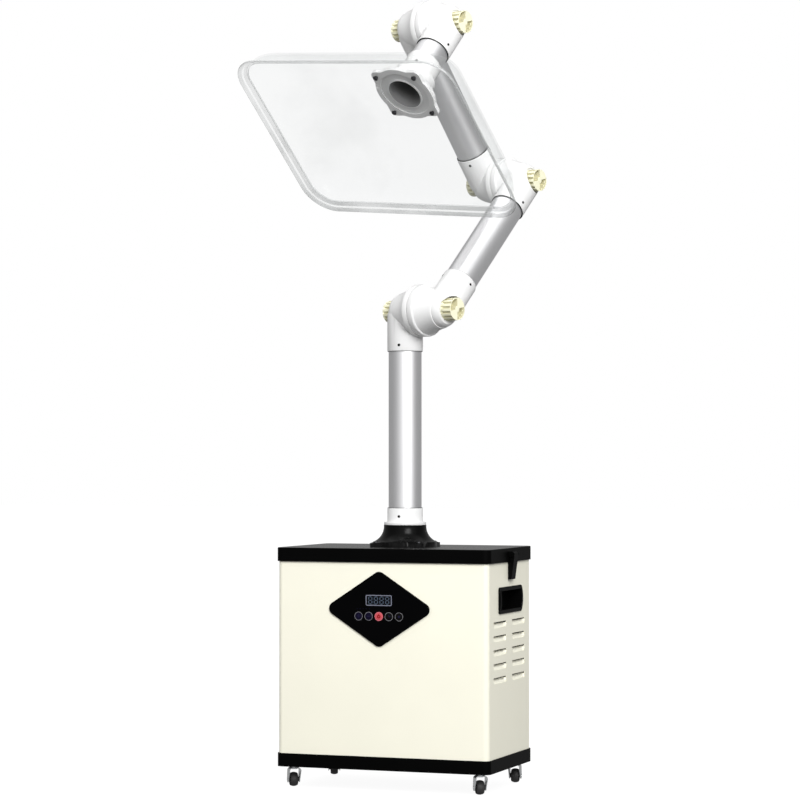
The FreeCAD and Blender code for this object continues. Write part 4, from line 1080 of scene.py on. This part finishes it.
def thickened(piece):
    """Gives a flat mark its thickness, half of it on each side."""
    edit(piece)
    face_out()
    rest()
    modify(piece, "SOLIDIFY", thickness=PRINT_THICK + PRINT_SINK, offset=0)
    return piece


def ring_mark(radius, width, gap=0.0):
    """A flat ring, or an arc with a gap at its top."""
    ring = turned("ring_mark", [(radius - width, 0), (radius, 0)], PRINT_STEPS, 360 - gap)
    put(ring, Matrix.Rotation(math.radians(90 - gap / 2), 4, "Z"))
    return thickened(ring)


def bar_mark(length, width, x=0.0, y=0.0, turn=0.0):
    """A flat bar with cut corners, drawn along x and turned."""
    bar = plate("bar_mark", length, width, width * BAR_CUT, 1)
    rest()
    put(bar, Matrix.Translation((x, y, 0)) @ Matrix.Rotation(math.radians(turn), 4, "Z"))
    return thickened(bar)


def seated(piece, look):
    ride_with(paint(piece, look), "cabinet")


# %% Display with four digits
DIGITS = 4
DIGIT_HEIGHT = 0.0155
DIGIT_WIDTH = 0.0078
DIGIT_PITCH = 0.0134
DIGIT_STROKE = 0.0024
DIGIT_GAP = 0.00144
BORDER_CORNER = 0.00336
BORDER_CORNER_STEPS = 5
BORDER_LINE = 0.0021
WINDOW_EDGE = 0.0002
DISPLAY_GLASS = finish("display_glass", (0.001, 0.0012, 0.002), 0.14, 60, 0.000005, tint=0.2, spread=0.02,
                       mirror=0.05)
PRINT_GREY = finish("display_frame_grey", (0.17, 0.18, 0.23), 0.45, 900, 0.00001, tint=0.04, mirror=0.1)
RING_GREY = finish("key_ring_grey", (0.20, 0.20, 0.21), 0.45, 900, 0.00001, tint=0.04, mirror=0.1)
DIGIT_BLUE = finish("digit_grey_blue", (0.055, 0.075, 0.105), 0.4, 900, 0.00001, tint=0.05, mirror=0.1)

window_low, window_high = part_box("display_window")
window = paint(softened("display_window", WINDOW_EDGE, "display_glass_plate"), DISPLAY_GLASS)
stand_for(window, "display_window")
window_middle = (window_low + window_high) / 2
strokes = []
for digit in range(DIGITS):
    x = (digit - (DIGITS - 1) / 2) * DIGIT_PITCH
    for row in (-1, 0, 1):
        strokes.append(bar_mark(DIGIT_WIDTH - DIGIT_STROKE, DIGIT_STROKE, x, row * DIGIT_HEIGHT / 2))
    for side in (-1, 1):
        for row in (-1, 1):
            strokes.append(bar_mark(DIGIT_HEIGHT / 2 - DIGIT_GAP, DIGIT_STROKE,
                                    x + side * DIGIT_WIDTH / 2, row * DIGIT_HEIGHT / 4, 90))
digits = on_panel(joined(strokes, "display_digits"), window_middle.x, window_low.y, window_middle.z)
seated(digits, DIGIT_BLUE)

window_size = window_high - window_low
border = plate("display_border", window_size.x, window_size.z, BORDER_CORNER, BORDER_CORNER_STEPS)
bpy.ops.mesh.select_mode(type="FACE")
select_whole()
bpy.ops.mesh.inset(thickness=BORDER_LINE)
bpy.ops.mesh.delete(type="FACE")
rest()
thickened(border)
on_panel(border, window_middle.x, window_low.y, window_middle.z)
seated(border, PRINT_GREY)
print("digit strokes:", len(strokes))

# %% [markdown]
# The five touch keys are flat discs under the panel's film. Two are dark blue, the middle one is lit red,
# and two are black. Each is a shallow turned button with its own ring and a plain sign.

# %% Signs on the keys
SIGN_STROKE = 0.0015
SIGN_REACH = 0.0042
POWER_STROKE = 0.00225
POWER_GAP = 70
POWER_BAR = 0.00504
POWER_BAR_RISE = 0.00252
SMALL_RING_R = 0.00252


def sign_marks(sign):
    """The strokes of one plain sign."""
    if sign == "plus":
        return [bar_mark(2 * SIGN_REACH, SIGN_STROKE), bar_mark(2 * SIGN_REACH, SIGN_STROKE, turn=90)]
    if sign == "minus":
        return [bar_mark(2 * SIGN_REACH, SIGN_STROKE)]
    if sign == "power":
        ring = ring_mark(SIGN_REACH, POWER_STROKE, POWER_GAP)
        return [ring, bar_mark(POWER_BAR, POWER_STROKE, 0, POWER_BAR_RISE, 90)]
    if sign == "hands":
        half = SIGN_REACH / 2
        return [bar_mark(SIGN_REACH, SIGN_STROKE, 0, half, 90), bar_mark(SIGN_REACH, SIGN_STROKE, half)]
    return [ring_mark(SMALL_RING_R, SIGN_STROKE)]


# %% Touch keys
KEY_COLOURS = {"blue": (0.003, 0.002, 0.014), "red": (0.50, 0.075, 0.09), "black": (0.001, 0.001, 0.001)}
KEY_GLOWS = {"blue": 0.0, "red": 0.10, "black": 0.0}
KEYS = [("plus", "blue"), ("minus", "blue"), ("power", "red"), ("hands", "black"), ("ring", "black")]
POWER_KEY = 2
KEY_RING = 0.0009
KEY_RING_INSET = 0.00036
KEY_BEVEL_START = 0.5
key_looks = {}
for shade, colour in KEY_COLOURS.items():
    look = finish("key_" + shade, colour, 0.3, 500, 0.00001, tint=0.05, mirror=0.08)
    shader_of(look).inputs["Emission Color"].default_value = (*colour, 1)
    shader_of(look).inputs["Emission Strength"].default_value = KEY_GLOWS[shade]
    key_looks[shade] = look
keys_low, keys_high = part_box("touch_keys")
key_r = (keys_high.z - keys_low.z) / 2
key_pitch = (keys_high.x - keys_low.x - 2 * key_r) / (len(KEYS) - 1)
key_face = keys_low.y
key_rise = panel_face - key_face
key_z = (keys_low.z + keys_high.z) / 2
key_section = [(0, 0), (key_r, 0), (key_r, key_rise * KEY_BEVEL_START), (key_r - key_rise, key_rise),
               (0, key_rise)]
keys = []
rings = []
signs = []
for n, (sign, shade) in enumerate(KEYS):
    x = keys_low.x + key_r + n * key_pitch
    key = smooth(turned("key", key_section, PRINT_STEPS), 30)
    keys.append(paint(on_panel(key, x, panel_face, key_z), key_looks[shade]))
    rings.append(on_panel(ring_mark(key_r - KEY_RING_INSET, KEY_RING), x, key_face, key_z))
    signs.append(on_panel(joined(sign_marks(sign), "sign"), x, key_face, key_z))
POWER_SIGN = finish("power_sign_red", (0.22, 0.001, 0.002), 0.35, 500, 0.00001, tint=0.05, mirror=0.1)
POWER_RING = finish("power_ring_pink", (0.62, 0.20, 0.23), 0.4, 500, 0.00001, tint=0.05, mirror=0.1)
SIGN_DIM = finish("key_sign_blue", (0.010, 0.009, 0.040), 0.45, 500, 0.00001, tint=0.05, mirror=0.1)
stand_for(joined(keys, "touch_key_caps"), "touch_keys")
seated(joined([signs.pop(POWER_KEY)], "power_sign"), POWER_SIGN)
seated(joined([rings.pop(POWER_KEY)], "power_ring"), POWER_RING)
seated(joined(signs, "key_signs"), SIGN_DIM)
seated(joined(rings, "key_rings"), RING_GREY)
print("keys:", len(KEYS), "pitch", round(key_pitch, 4))

# %% Level dots
DOTS = 5
DOT_SIZE = 0.0014
DOT_PITCH = 0.0072
DOT_RISE = 0.0165
first_dot = keys_low.x + key_r - DOT_PITCH / 2
dots = [on_panel(bar_mark(DOT_SIZE, DOT_SIZE), first_dot + n * DOT_PITCH, panel_face, key_z + DOT_RISE)
        for n in range(DOTS)]
seated(joined(dots, "level_dots"), SIGN_DIM)
print("level dots:", DOTS)

# %% [markdown]
# ## Casters
# The wheels are black with a rounded tread and a hub that stands proud of the disc. One wheel is turned
# about its own axle and copied to the four forks. The axle's direction comes from each wheel's own joint.

# %% Caster wheels
WHEEL_R = 0.016
WHEEL_HALF = 0.0085
WHEEL_HUB = 0.0118
AXLE_HOLE_R = 0.00256
HUB_R = 0.0050
DISC_HALF = 0.0062
TREAD_IN_R = 0.0118
TREAD_EDGE_R = 0.0136
WHEEL_EDGE = 0.0005
WHEEL_STEPS = 72
tread = arc((TREAD_EDGE_R, -WHEEL_HALF), (WHEEL_R, 0), (TREAD_EDGE_R, WHEEL_HALF), 16)
wheel_section = [(AXLE_HOLE_R, -WHEEL_HUB), (HUB_R, -WHEEL_HUB), (HUB_R, -DISC_HALF), (TREAD_IN_R, -DISC_HALF),
                 (TREAD_IN_R, -WHEEL_HALF)] + tread + [
                 (TREAD_IN_R, WHEEL_HALF), (TREAD_IN_R, DISC_HALF), (HUB_R, DISC_HALF), (HUB_R, WHEEL_HUB),
                 (AXLE_HOLE_R, WHEEL_HUB), (AXLE_HOLE_R, -WHEEL_HUB)]
wheel = turned("wheel", wheel_section, WHEEL_STEPS)
round_edges(wheel, WHEEL_EDGE)
smooth(wheel)
paint(wheel, RUBBER)
CORNERS = ["front_left", "front_right", "rear_left", "rear_right"]
for corner in CORNERS:
    axle = joint_axis("wheel_spin_" + corner)
    node = "caster_wheel_" + corner
    place = Matrix.Translation(middle_of(node)) @ axle.to_track_quat("Z", "Y").to_matrix().to_4x4()
    stand_for(put(copied(wheel, "wheel_" + corner), place), node)
bpy.data.objects.remove(wheel)
print("wheels:", len(CORNERS))

# %% [markdown]
# ## Cabinet, latches and the rest
# The cabinet's sheet, the lid, the tray, the latches and the handles are pressed or moulded with small
# rounded edges. Most of their solids have the right shape, so each gets a copy with rounded edges or keeps
# its own mesh, and its finish. The lid's top is glossier than its sides, so that it turns grey when it is
# seen almost edge on. Most pieces inside keep their solids and get the finishes of a real filter unit.

# %% Solids with rounded edges
FORK_EDGE = 0.0004
ROUNDED = {
    "base_tray": (BLACK_METAL, 0.0012, "black_metal"),
    "lid": (BLACK_METAL, 0.0008, "black_metal"),
    "side_handles": (BLACK_PLASTIC, 0.0010, "black_plastic"),
    "latch_brackets": (BLACK_PLASTIC, 0.0006, "black_plastic"),
    "latch_lever_right": (BLACK_PLASTIC, 0.0008, "black_plastic"),
    "latch_lever_left": (BLACK_PLASTIC, 0.0008, "black_plastic"),
    "rear_panel": (IVORY, 0.0004, "ivory_metal"),
    "power_inlet": (BLACK_PLASTIC, 0.0005, "black_plastic"),
}
for corner in CORNERS:
    ROUNDED["caster_fork_" + corner] = (ZINC, FORK_EDGE, "zinc")
for node, (look, width, slot) in ROUNDED.items():
    stand_for(paint(softened(node, width, node + "_rounded"), look), node)
lid = bpy.data.objects["lid_rounded"]
lid.data.materials.append(LID_GLOSS)
for face in lid.data.polygons:
    face.material_index = int(face.normal.z > LEVEL)
print("rounded solids:", len(ROUNDED))


# %% Solids that keep their own mesh
PLEAT_DEPTH = 0.004
PLEAT_WANDER = 0.3


def pleated(name, colour, pitch):
    """Filter paper: bands across the cell, soft on the ridges."""
    made = finish(name, colour, 0.85, 700, 0.0002, tint=0.05)
    tree = made.node_tree
    link = tree.links.new
    place = next(node for node in tree.nodes if node.type == "TEX_COORD")
    bump = next(node for node in tree.nodes if node.type == "BUMP")
    wave = added(tree, "TexWave", {"Scale": 1 / pitch, "Distortion": PLEAT_WANDER})
    link(place.outputs["Object"], wave.inputs["Vector"])
    fold = added(tree, "Bump", {"Distance": PLEAT_DEPTH})
    link(wave.outputs["Fac"], fold.inputs["Height"])
    link(bump.outputs["Normal"], fold.inputs["Normal"])
    link(fold.outputs["Normal"], shader_of(made).inputs["Normal"])
    return made


PLEATS = pleated("pleated_filter_paper", (0.86, 0.87, 0.86), 0.03)
FLEECE = pleated("pre_filter_fleece", (0.70, 0.74, 0.76), 0.05)
BOARD = finish("circuit_board_green", (0.02, 0.13, 0.05), 0.4, 300, 0.0001, tint=0.3)
IMPELLER = finish("impeller_grey", (0.16, 0.17, 0.18), 0.45, 900, 0.00003, tint=0.1)
KEPT = {
    "latch_catches": BLACK_PLASTIC, "caster_stems": ZINC, "lid_gasket": FOAM,
    "control_board": BOARD, "main_filter": PLEATS, "pre_filter": FLEECE,
    "blower_housing": SHEET_STEEL, "blower_impeller": IMPELLER, "blower_motor": MOTOR_METAL,
    "blower_shaft": BRIGHT_STEEL,
}
for joint in joint_tubes:
    KEPT[joint + "_bolt"] = ZINC
    KEPT[joint + "_ring"] = SEAL
for node, look in KEPT.items():
    paint(nodes[node], look)
print("kept solids:", len(KEPT))

# %% [markdown]
# The louvres are pressed into the side sheets: a tongue of sheet slopes inwards below each slot, so it
# faces up and catches the light. The solid has bulges there, so a copy of the sheet has them cut off, and a
# tongue is set behind each hole. The tongue's profile is traced once and extruded along the louvre in short
# steps, and it comes back to the sheet at both ends.

# %% Cabinet sheet
LOUVRE_ROWS = 5
LOUVRE_PITCH = 0.0307
LOUVRE_LENGTH = 0.098
LOUVRE_GAP = 0.033
LOUVRE_SHIFT = -0.003
LOUVRE_BELOW_LID = 0.1345
LOUVRE_PROUD = 0.0055
SKIN = 0.00002
CUTTER = (0.02, 0.28, 0.20)
side_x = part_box("cabinet_shell")[1].x - LOUVRE_PROUD
first_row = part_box("lid")[0].z - LOUVRE_BELOW_LID
middle_row = first_row - LOUVRE_PITCH * (LOUVRE_ROWS - 1) / 2
sheet = rejoined("cabinet_shell", "cabinet_sheet")
for side in (-1, 1):
    place = Matrix.Translation((side * (side_x + SKIN + CUTTER[0] / 2), 0, middle_row))
    combine(sheet, block("bulge_cutter", place, CUTTER), "DIFFERENCE")
paint(shaded_flat(sheet), IVORY)
stand_for(sheet, "cabinet_shell")
print("cabinet sheet faces:", len(sheet.data.polygons))

# %% Louvre tongues
TONGUE_DEPTH = 0.0070
TONGUE_LOW = -0.0102
TONGUE_RISE = 0.0112
TONGUE_START = 0.0004
TONGUE_HALF = 0.0465
TONGUE_END = 0.012
TONGUE_STEPS = 10
TONGUE_WALL = 0.0004
TONGUE_SINK = 0.0003
TONGUE_TIP = 0.05
SLOPE_POWER = 1.25


def eased(share):
    """Falls from 1 to 0 as the share goes from 0 to 1, and starts flat."""
    return math.cos(math.pi / 2 * share ** SLOPE_POWER)


shares = [n / TONGUE_STEPS for n in range(TONGUE_STEPS + 1)]
one_end = [(TONGUE_HALF - TONGUE_END * (1 - share), max(eased(share), TONGUE_TIP)) for share in shares]
stations = [(-y, size) for y, size in reversed(one_end)] + one_end
first_y, first_size = stations[0]
tongue = traced("louvre_tongue", [(-(TONGUE_START + TONGUE_DEPTH * share ** SLOPE_POWER) * first_size, first_y,
                                   TONGUE_LOW + TONGUE_RISE * share) for share in shares])
select_whole()
for (y, size), (next_y, next_size) in zip(stations, stations[1:]):
    bpy.ops.mesh.extrude_region_move(TRANSFORM_OT_translate={"value": (0, next_y - y, 0)})
    bpy.ops.transform.resize(value=(next_size / size, 1, 1), center_override=(0, 0, 0))
face_out()
rest()
modify(tongue, "SOLIDIFY", thickness=TONGUE_WALL, offset=0)
smooth(tongue, 40)
louvre_places = []
for row in range(LOUVRE_ROWS):
    for side in (-1, 1):
        y = side * (LOUVRE_LENGTH + LOUVRE_GAP) / 2 + LOUVRE_SHIFT
        place = Matrix.Translation((side_x - TONGUE_SINK, y, first_row - row * LOUVRE_PITCH))
        louvre_places += [Matrix.Rotation(math.radians(turn), 4, "Z") @ place for turn in (0, 180)]
tongues = paint(copies(tongue, louvre_places, "louvre_tongues"), IVORY)
ride_with(tongues, "cabinet")
print("louvre tongues:", len(louvre_places))

# %% [markdown]
# The filter shelf lies level with the top row of louvres. A copy of it ends short of the tongues, so that
# its edge does not show through the slots.

# %% Filter shelf
SHELF_SHORT = 0.009
SHELF_END = 0.03
shelf_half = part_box("filter_shelf")[1].x
shelf = rejoined("filter_shelf", "filter_shelf_plate")
edit(shelf)
for side in (-1, 1):
    pick(shelf, "verts", lambda vert: side * vert.co.x > shelf_half - SHELF_END)
    bpy.ops.transform.translate(value=(-side * SHELF_SHORT, 0, 0))
rest()
paint(shaded_flat(shelf), SHEET_STEEL)
stand_for(shelf, "filter_shelf")
print("shelf half width:", round(shelf_half - SHELF_SHORT, 4))

# %% [markdown]
# The rear cover is held by small pan-head screws round its edge. They are placed from the cover's own box.

# %% Rear cover screws
COVER_SCREW_R = 0.0042
COVER_SCREW_HEIGHT = 0.0024
COVER_SCREW_WALL = 0.00072
DOME_MIDDLE = (0.00315, 0.00192)
CROSS_SIZE = (0.00462, 0.001008, COVER_SCREW_HEIGHT)
COVER_SCREW_INSET = 0.007
dome = arc((COVER_SCREW_R, COVER_SCREW_WALL), DOME_MIDDLE, (0, COVER_SCREW_HEIGHT), 8)
cover_screw = turned("cover_screw", [(0, 0), (COVER_SCREW_R, 0)] + dome, SCREW_STEPS)
for turn in (0, 90):
    place = Matrix.Translation((0, 0, COVER_SCREW_HEIGHT)) @ Matrix.Rotation(math.radians(turn), 4, "Z")
    combine(cover_screw, block("cross_cutter", place, CROSS_SIZE), "DIFFERENCE")
smooth(cover_screw, 30)
cover_low, cover_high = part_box("rear_panel")
cover_middle = (cover_low + cover_high) / 2
reach_x = cover_high.x - COVER_SCREW_INSET - cover_middle.x
reach_z = cover_high.z - COVER_SCREW_INSET - cover_middle.z
on_cover = Matrix.Translation((cover_middle.x, cover_high.y, cover_middle.z))
facing_back = Matrix.Rotation(math.radians(-90), 4, "X")
cover_places = [on_cover @ Matrix.Translation((column * reach_x, 0, row * reach_z)) @ facing_back
                for column in (-1, 0, 1) for row in (-1, 0, 1) if column or row]
cover_screws = paint(copies(cover_screw, cover_places, "cover_screws"), ZINC)
ride_with(cover_screws, "cabinet")
print("cover screws:", len(cover_places))

# %% [markdown]
# ## Studio
# The photograph is a cut-out on white. The floor is white with a soft shadow, and the world is white to the
# camera, to reflections and through clear pieces, but gives the object only a plain level of light. A large
# softbox stands to the right of the camera, a weak light hangs above, and two more lift the left side and
# the back. Grey boards, seen only by reflections, stand round the rest and lie on the ground, and give the
# tubes their darker sides.

# %% Camera
IMAGE_SIZE = 800
FOCAL_PIXELS = 2689
SENSOR = 36.0
CAMERA_PLACE = Vector((2.1386, -5.7349, 0.746))
CAMERA_YAW = math.radians(20.56)
CAMERA_PITCH = math.radians(1.19)
level_share = math.cos(CAMERA_PITCH)
look_along = Vector((-math.sin(CAMERA_YAW) * level_share, math.cos(CAMERA_YAW) * level_share,
                     math.sin(CAMERA_PITCH)))
rest()
bpy.ops.object.camera_add(location=CAMERA_PLACE, rotation=look_along.to_track_quat("-Z", "Y").to_euler())
camera = bpy.context.object
camera.data.sensor_width = SENSOR
camera.data.lens = FOCAL_PIXELS / IMAGE_SIZE * SENSOR
bpy.context.scene.camera = camera
bpy.context.scene.view_settings.view_transform = "Standard"
print("lens:", round(camera.data.lens, 1))

# %% World and floor
FILL_LEVEL = 0.60
FLOOR_SIZE = 60.0
FLOOR_GLOW = 0.92
FLOOR_GREY = 0.10
WHITE = (1, 1, 1, 1)
SEEN_RAYS = ("Is Camera Ray", "Is Glossy Ray", "Is Transmission Ray")


def seen_share(tree):
    """1 where the camera sees a surface, also in a reflection or through a clear piece."""
    path = added(tree, "LightPath")
    share = path.outputs[SEEN_RAYS[0]]
    for ray in SEEN_RAYS[1:]:
        either = added(tree, "Math", operation="MAXIMUM")
        tree.links.new(share, either.inputs[0])
        tree.links.new(path.outputs[ray], either.inputs[1])
        share = either.outputs["Value"]
    return share


world = bpy.data.worlds.new("white_studio")
bpy.context.scene.world = world
world.use_nodes = True
tree = world.node_tree
fill = tree.nodes["Background"]
fill.inputs["Color"].default_value = WHITE
fill.inputs["Strength"].default_value = FILL_LEVEL
white = added(tree, "Background", {"Color": WHITE})
mix = added(tree, "MixShader")
tree.links.new(seen_share(tree), mix.inputs["Fac"])
tree.links.new(fill.outputs["Background"], mix.inputs[1])
tree.links.new(white.outputs["Background"], mix.inputs[2])
tree.links.new(mix.outputs["Shader"], tree.nodes["World Output"].inputs["Surface"])

floor_look = finish("studio_floor", (FLOOR_GREY, FLOOR_GREY, FLOOR_GREY), 0.9, 30, 0.00001, tint=0.005)
tree = floor_look.node_tree
level = added(tree, "Math", {1: FLOOR_GLOW}, "MULTIPLY")
tree.links.new(seen_share(tree), level.inputs[0])
glow = added(tree, "Emission")
tree.links.new(level.outputs["Value"], glow.inputs["Strength"])
both = added(tree, "AddShader")
tree.links.new(shader_of(floor_look).outputs["BSDF"], both.inputs[0])
tree.links.new(glow.outputs["Emission"], both.inputs[1])
tree.links.new(both.outputs["Shader"], tree.nodes["Material Output"].inputs["Surface"])
rest()
bpy.ops.mesh.primitive_plane_add(size=FLOOR_SIZE)
floor = paint(named("studio_floor"), floor_look)
print("floor:", FLOOR_SIZE, "m")

# %% Lights and boards
SOFTBOX_TURN = math.radians(37)
SOFTBOX_RISE = math.radians(25)
SOFTBOX_AWAY = 4.2
SOFTBOX_SIZE = (1.8, 2.6)
SOFTBOX_POWER = 180
TOP_POWER = 30
TOP_PLACE = Vector((0, -0.6, 6.0))
TOP_SIZE = (2.6, 2.6)
AIM = Vector((0, 0, 0.85))
BOARD_AWAY = 3.0
BOARD_HEIGHT = 4.0
BOARD_STEPS = 40
GROUND_STEPS = 60
GROUND_LIFT = 0.0005
BOARD_ZONES = [(75, 90, 0.60), (90, 300, 0.36), (300, 325, 0.45), (325, 348, 0.70)]
GROUND_LEVEL = 0.38
LEFT_TURN = math.radians(-60)
LEFT_POWER = 34
BACK_TURN = math.radians(200)
BACK_POWER = 70


def area_light(name, place, size, power):
    rest()
    bpy.ops.object.light_add(type="AREA", location=place)
    light = named(name)
    light.data.shape = "RECTANGLE"
    light.data.size, light.data.size_y = size
    light.data.energy = power
    light.rotation_euler = (AIM - place).to_track_quat("-Z", "Y").to_euler()
    return light


def from_front(turn, rise):
    """Direction at a turn from the front towards +X and a rise above the ground."""
    return Vector((math.sin(turn) * math.cos(rise), -math.cos(turn) * math.cos(rise), math.sin(rise)))


area_light("softbox", AIM + from_front(SOFTBOX_TURN, SOFTBOX_RISE) * SOFTBOX_AWAY, SOFTBOX_SIZE, SOFTBOX_POWER)
area_light("top_light", TOP_PLACE, TOP_SIZE, TOP_POWER)
for name, turn, power in (("left_fill", LEFT_TURN, LEFT_POWER), ("back_fill", BACK_TURN, BACK_POWER)):
    light = area_light(name, AIM + from_front(turn, SOFTBOX_RISE) * SOFTBOX_AWAY, SOFTBOX_SIZE, power)
    light.visible_glossy = False


def stage_board(board, level):
    """Gives a board an even grey that only reflections see."""
    look = bpy.data.materials.new(board.name)
    look.use_nodes = True
    shine = added(look.node_tree, "Emission", {"Color": (level, level, level, 1)})
    surface = look.node_tree.nodes["Material Output"].inputs["Surface"]
    look.node_tree.links.new(shine.outputs["Emission"], surface)
    paint(board, look)
    board.visible_camera = False
    board.visible_diffuse = False
    board.visible_transmission = False
    board.visible_shadow = False


for start, end, level in BOARD_ZONES:
    wall = traced("grey_board_" + str(start), [(0, -BOARD_AWAY, 0), (0, -BOARD_AWAY, BOARD_HEIGHT)])
    select_whole()
    bpy.ops.mesh.spin(steps=BOARD_STEPS, angle=-math.radians(end - start), center=(0, 0, 0), axis=(0, 0, 1))
    rest()
    stage_board(put(wall, Matrix.Rotation(math.radians(start), 4, "Z")), level)
bpy.ops.mesh.primitive_circle_add(vertices=GROUND_STEPS, radius=BOARD_AWAY, fill_type="NGON")
stage_board(put(named("grey_ground"), Matrix.Translation((0, 0, GROUND_LIFT))), GROUND_LEVEL)
print("boards:", len(BOARD_ZONES) + 1)
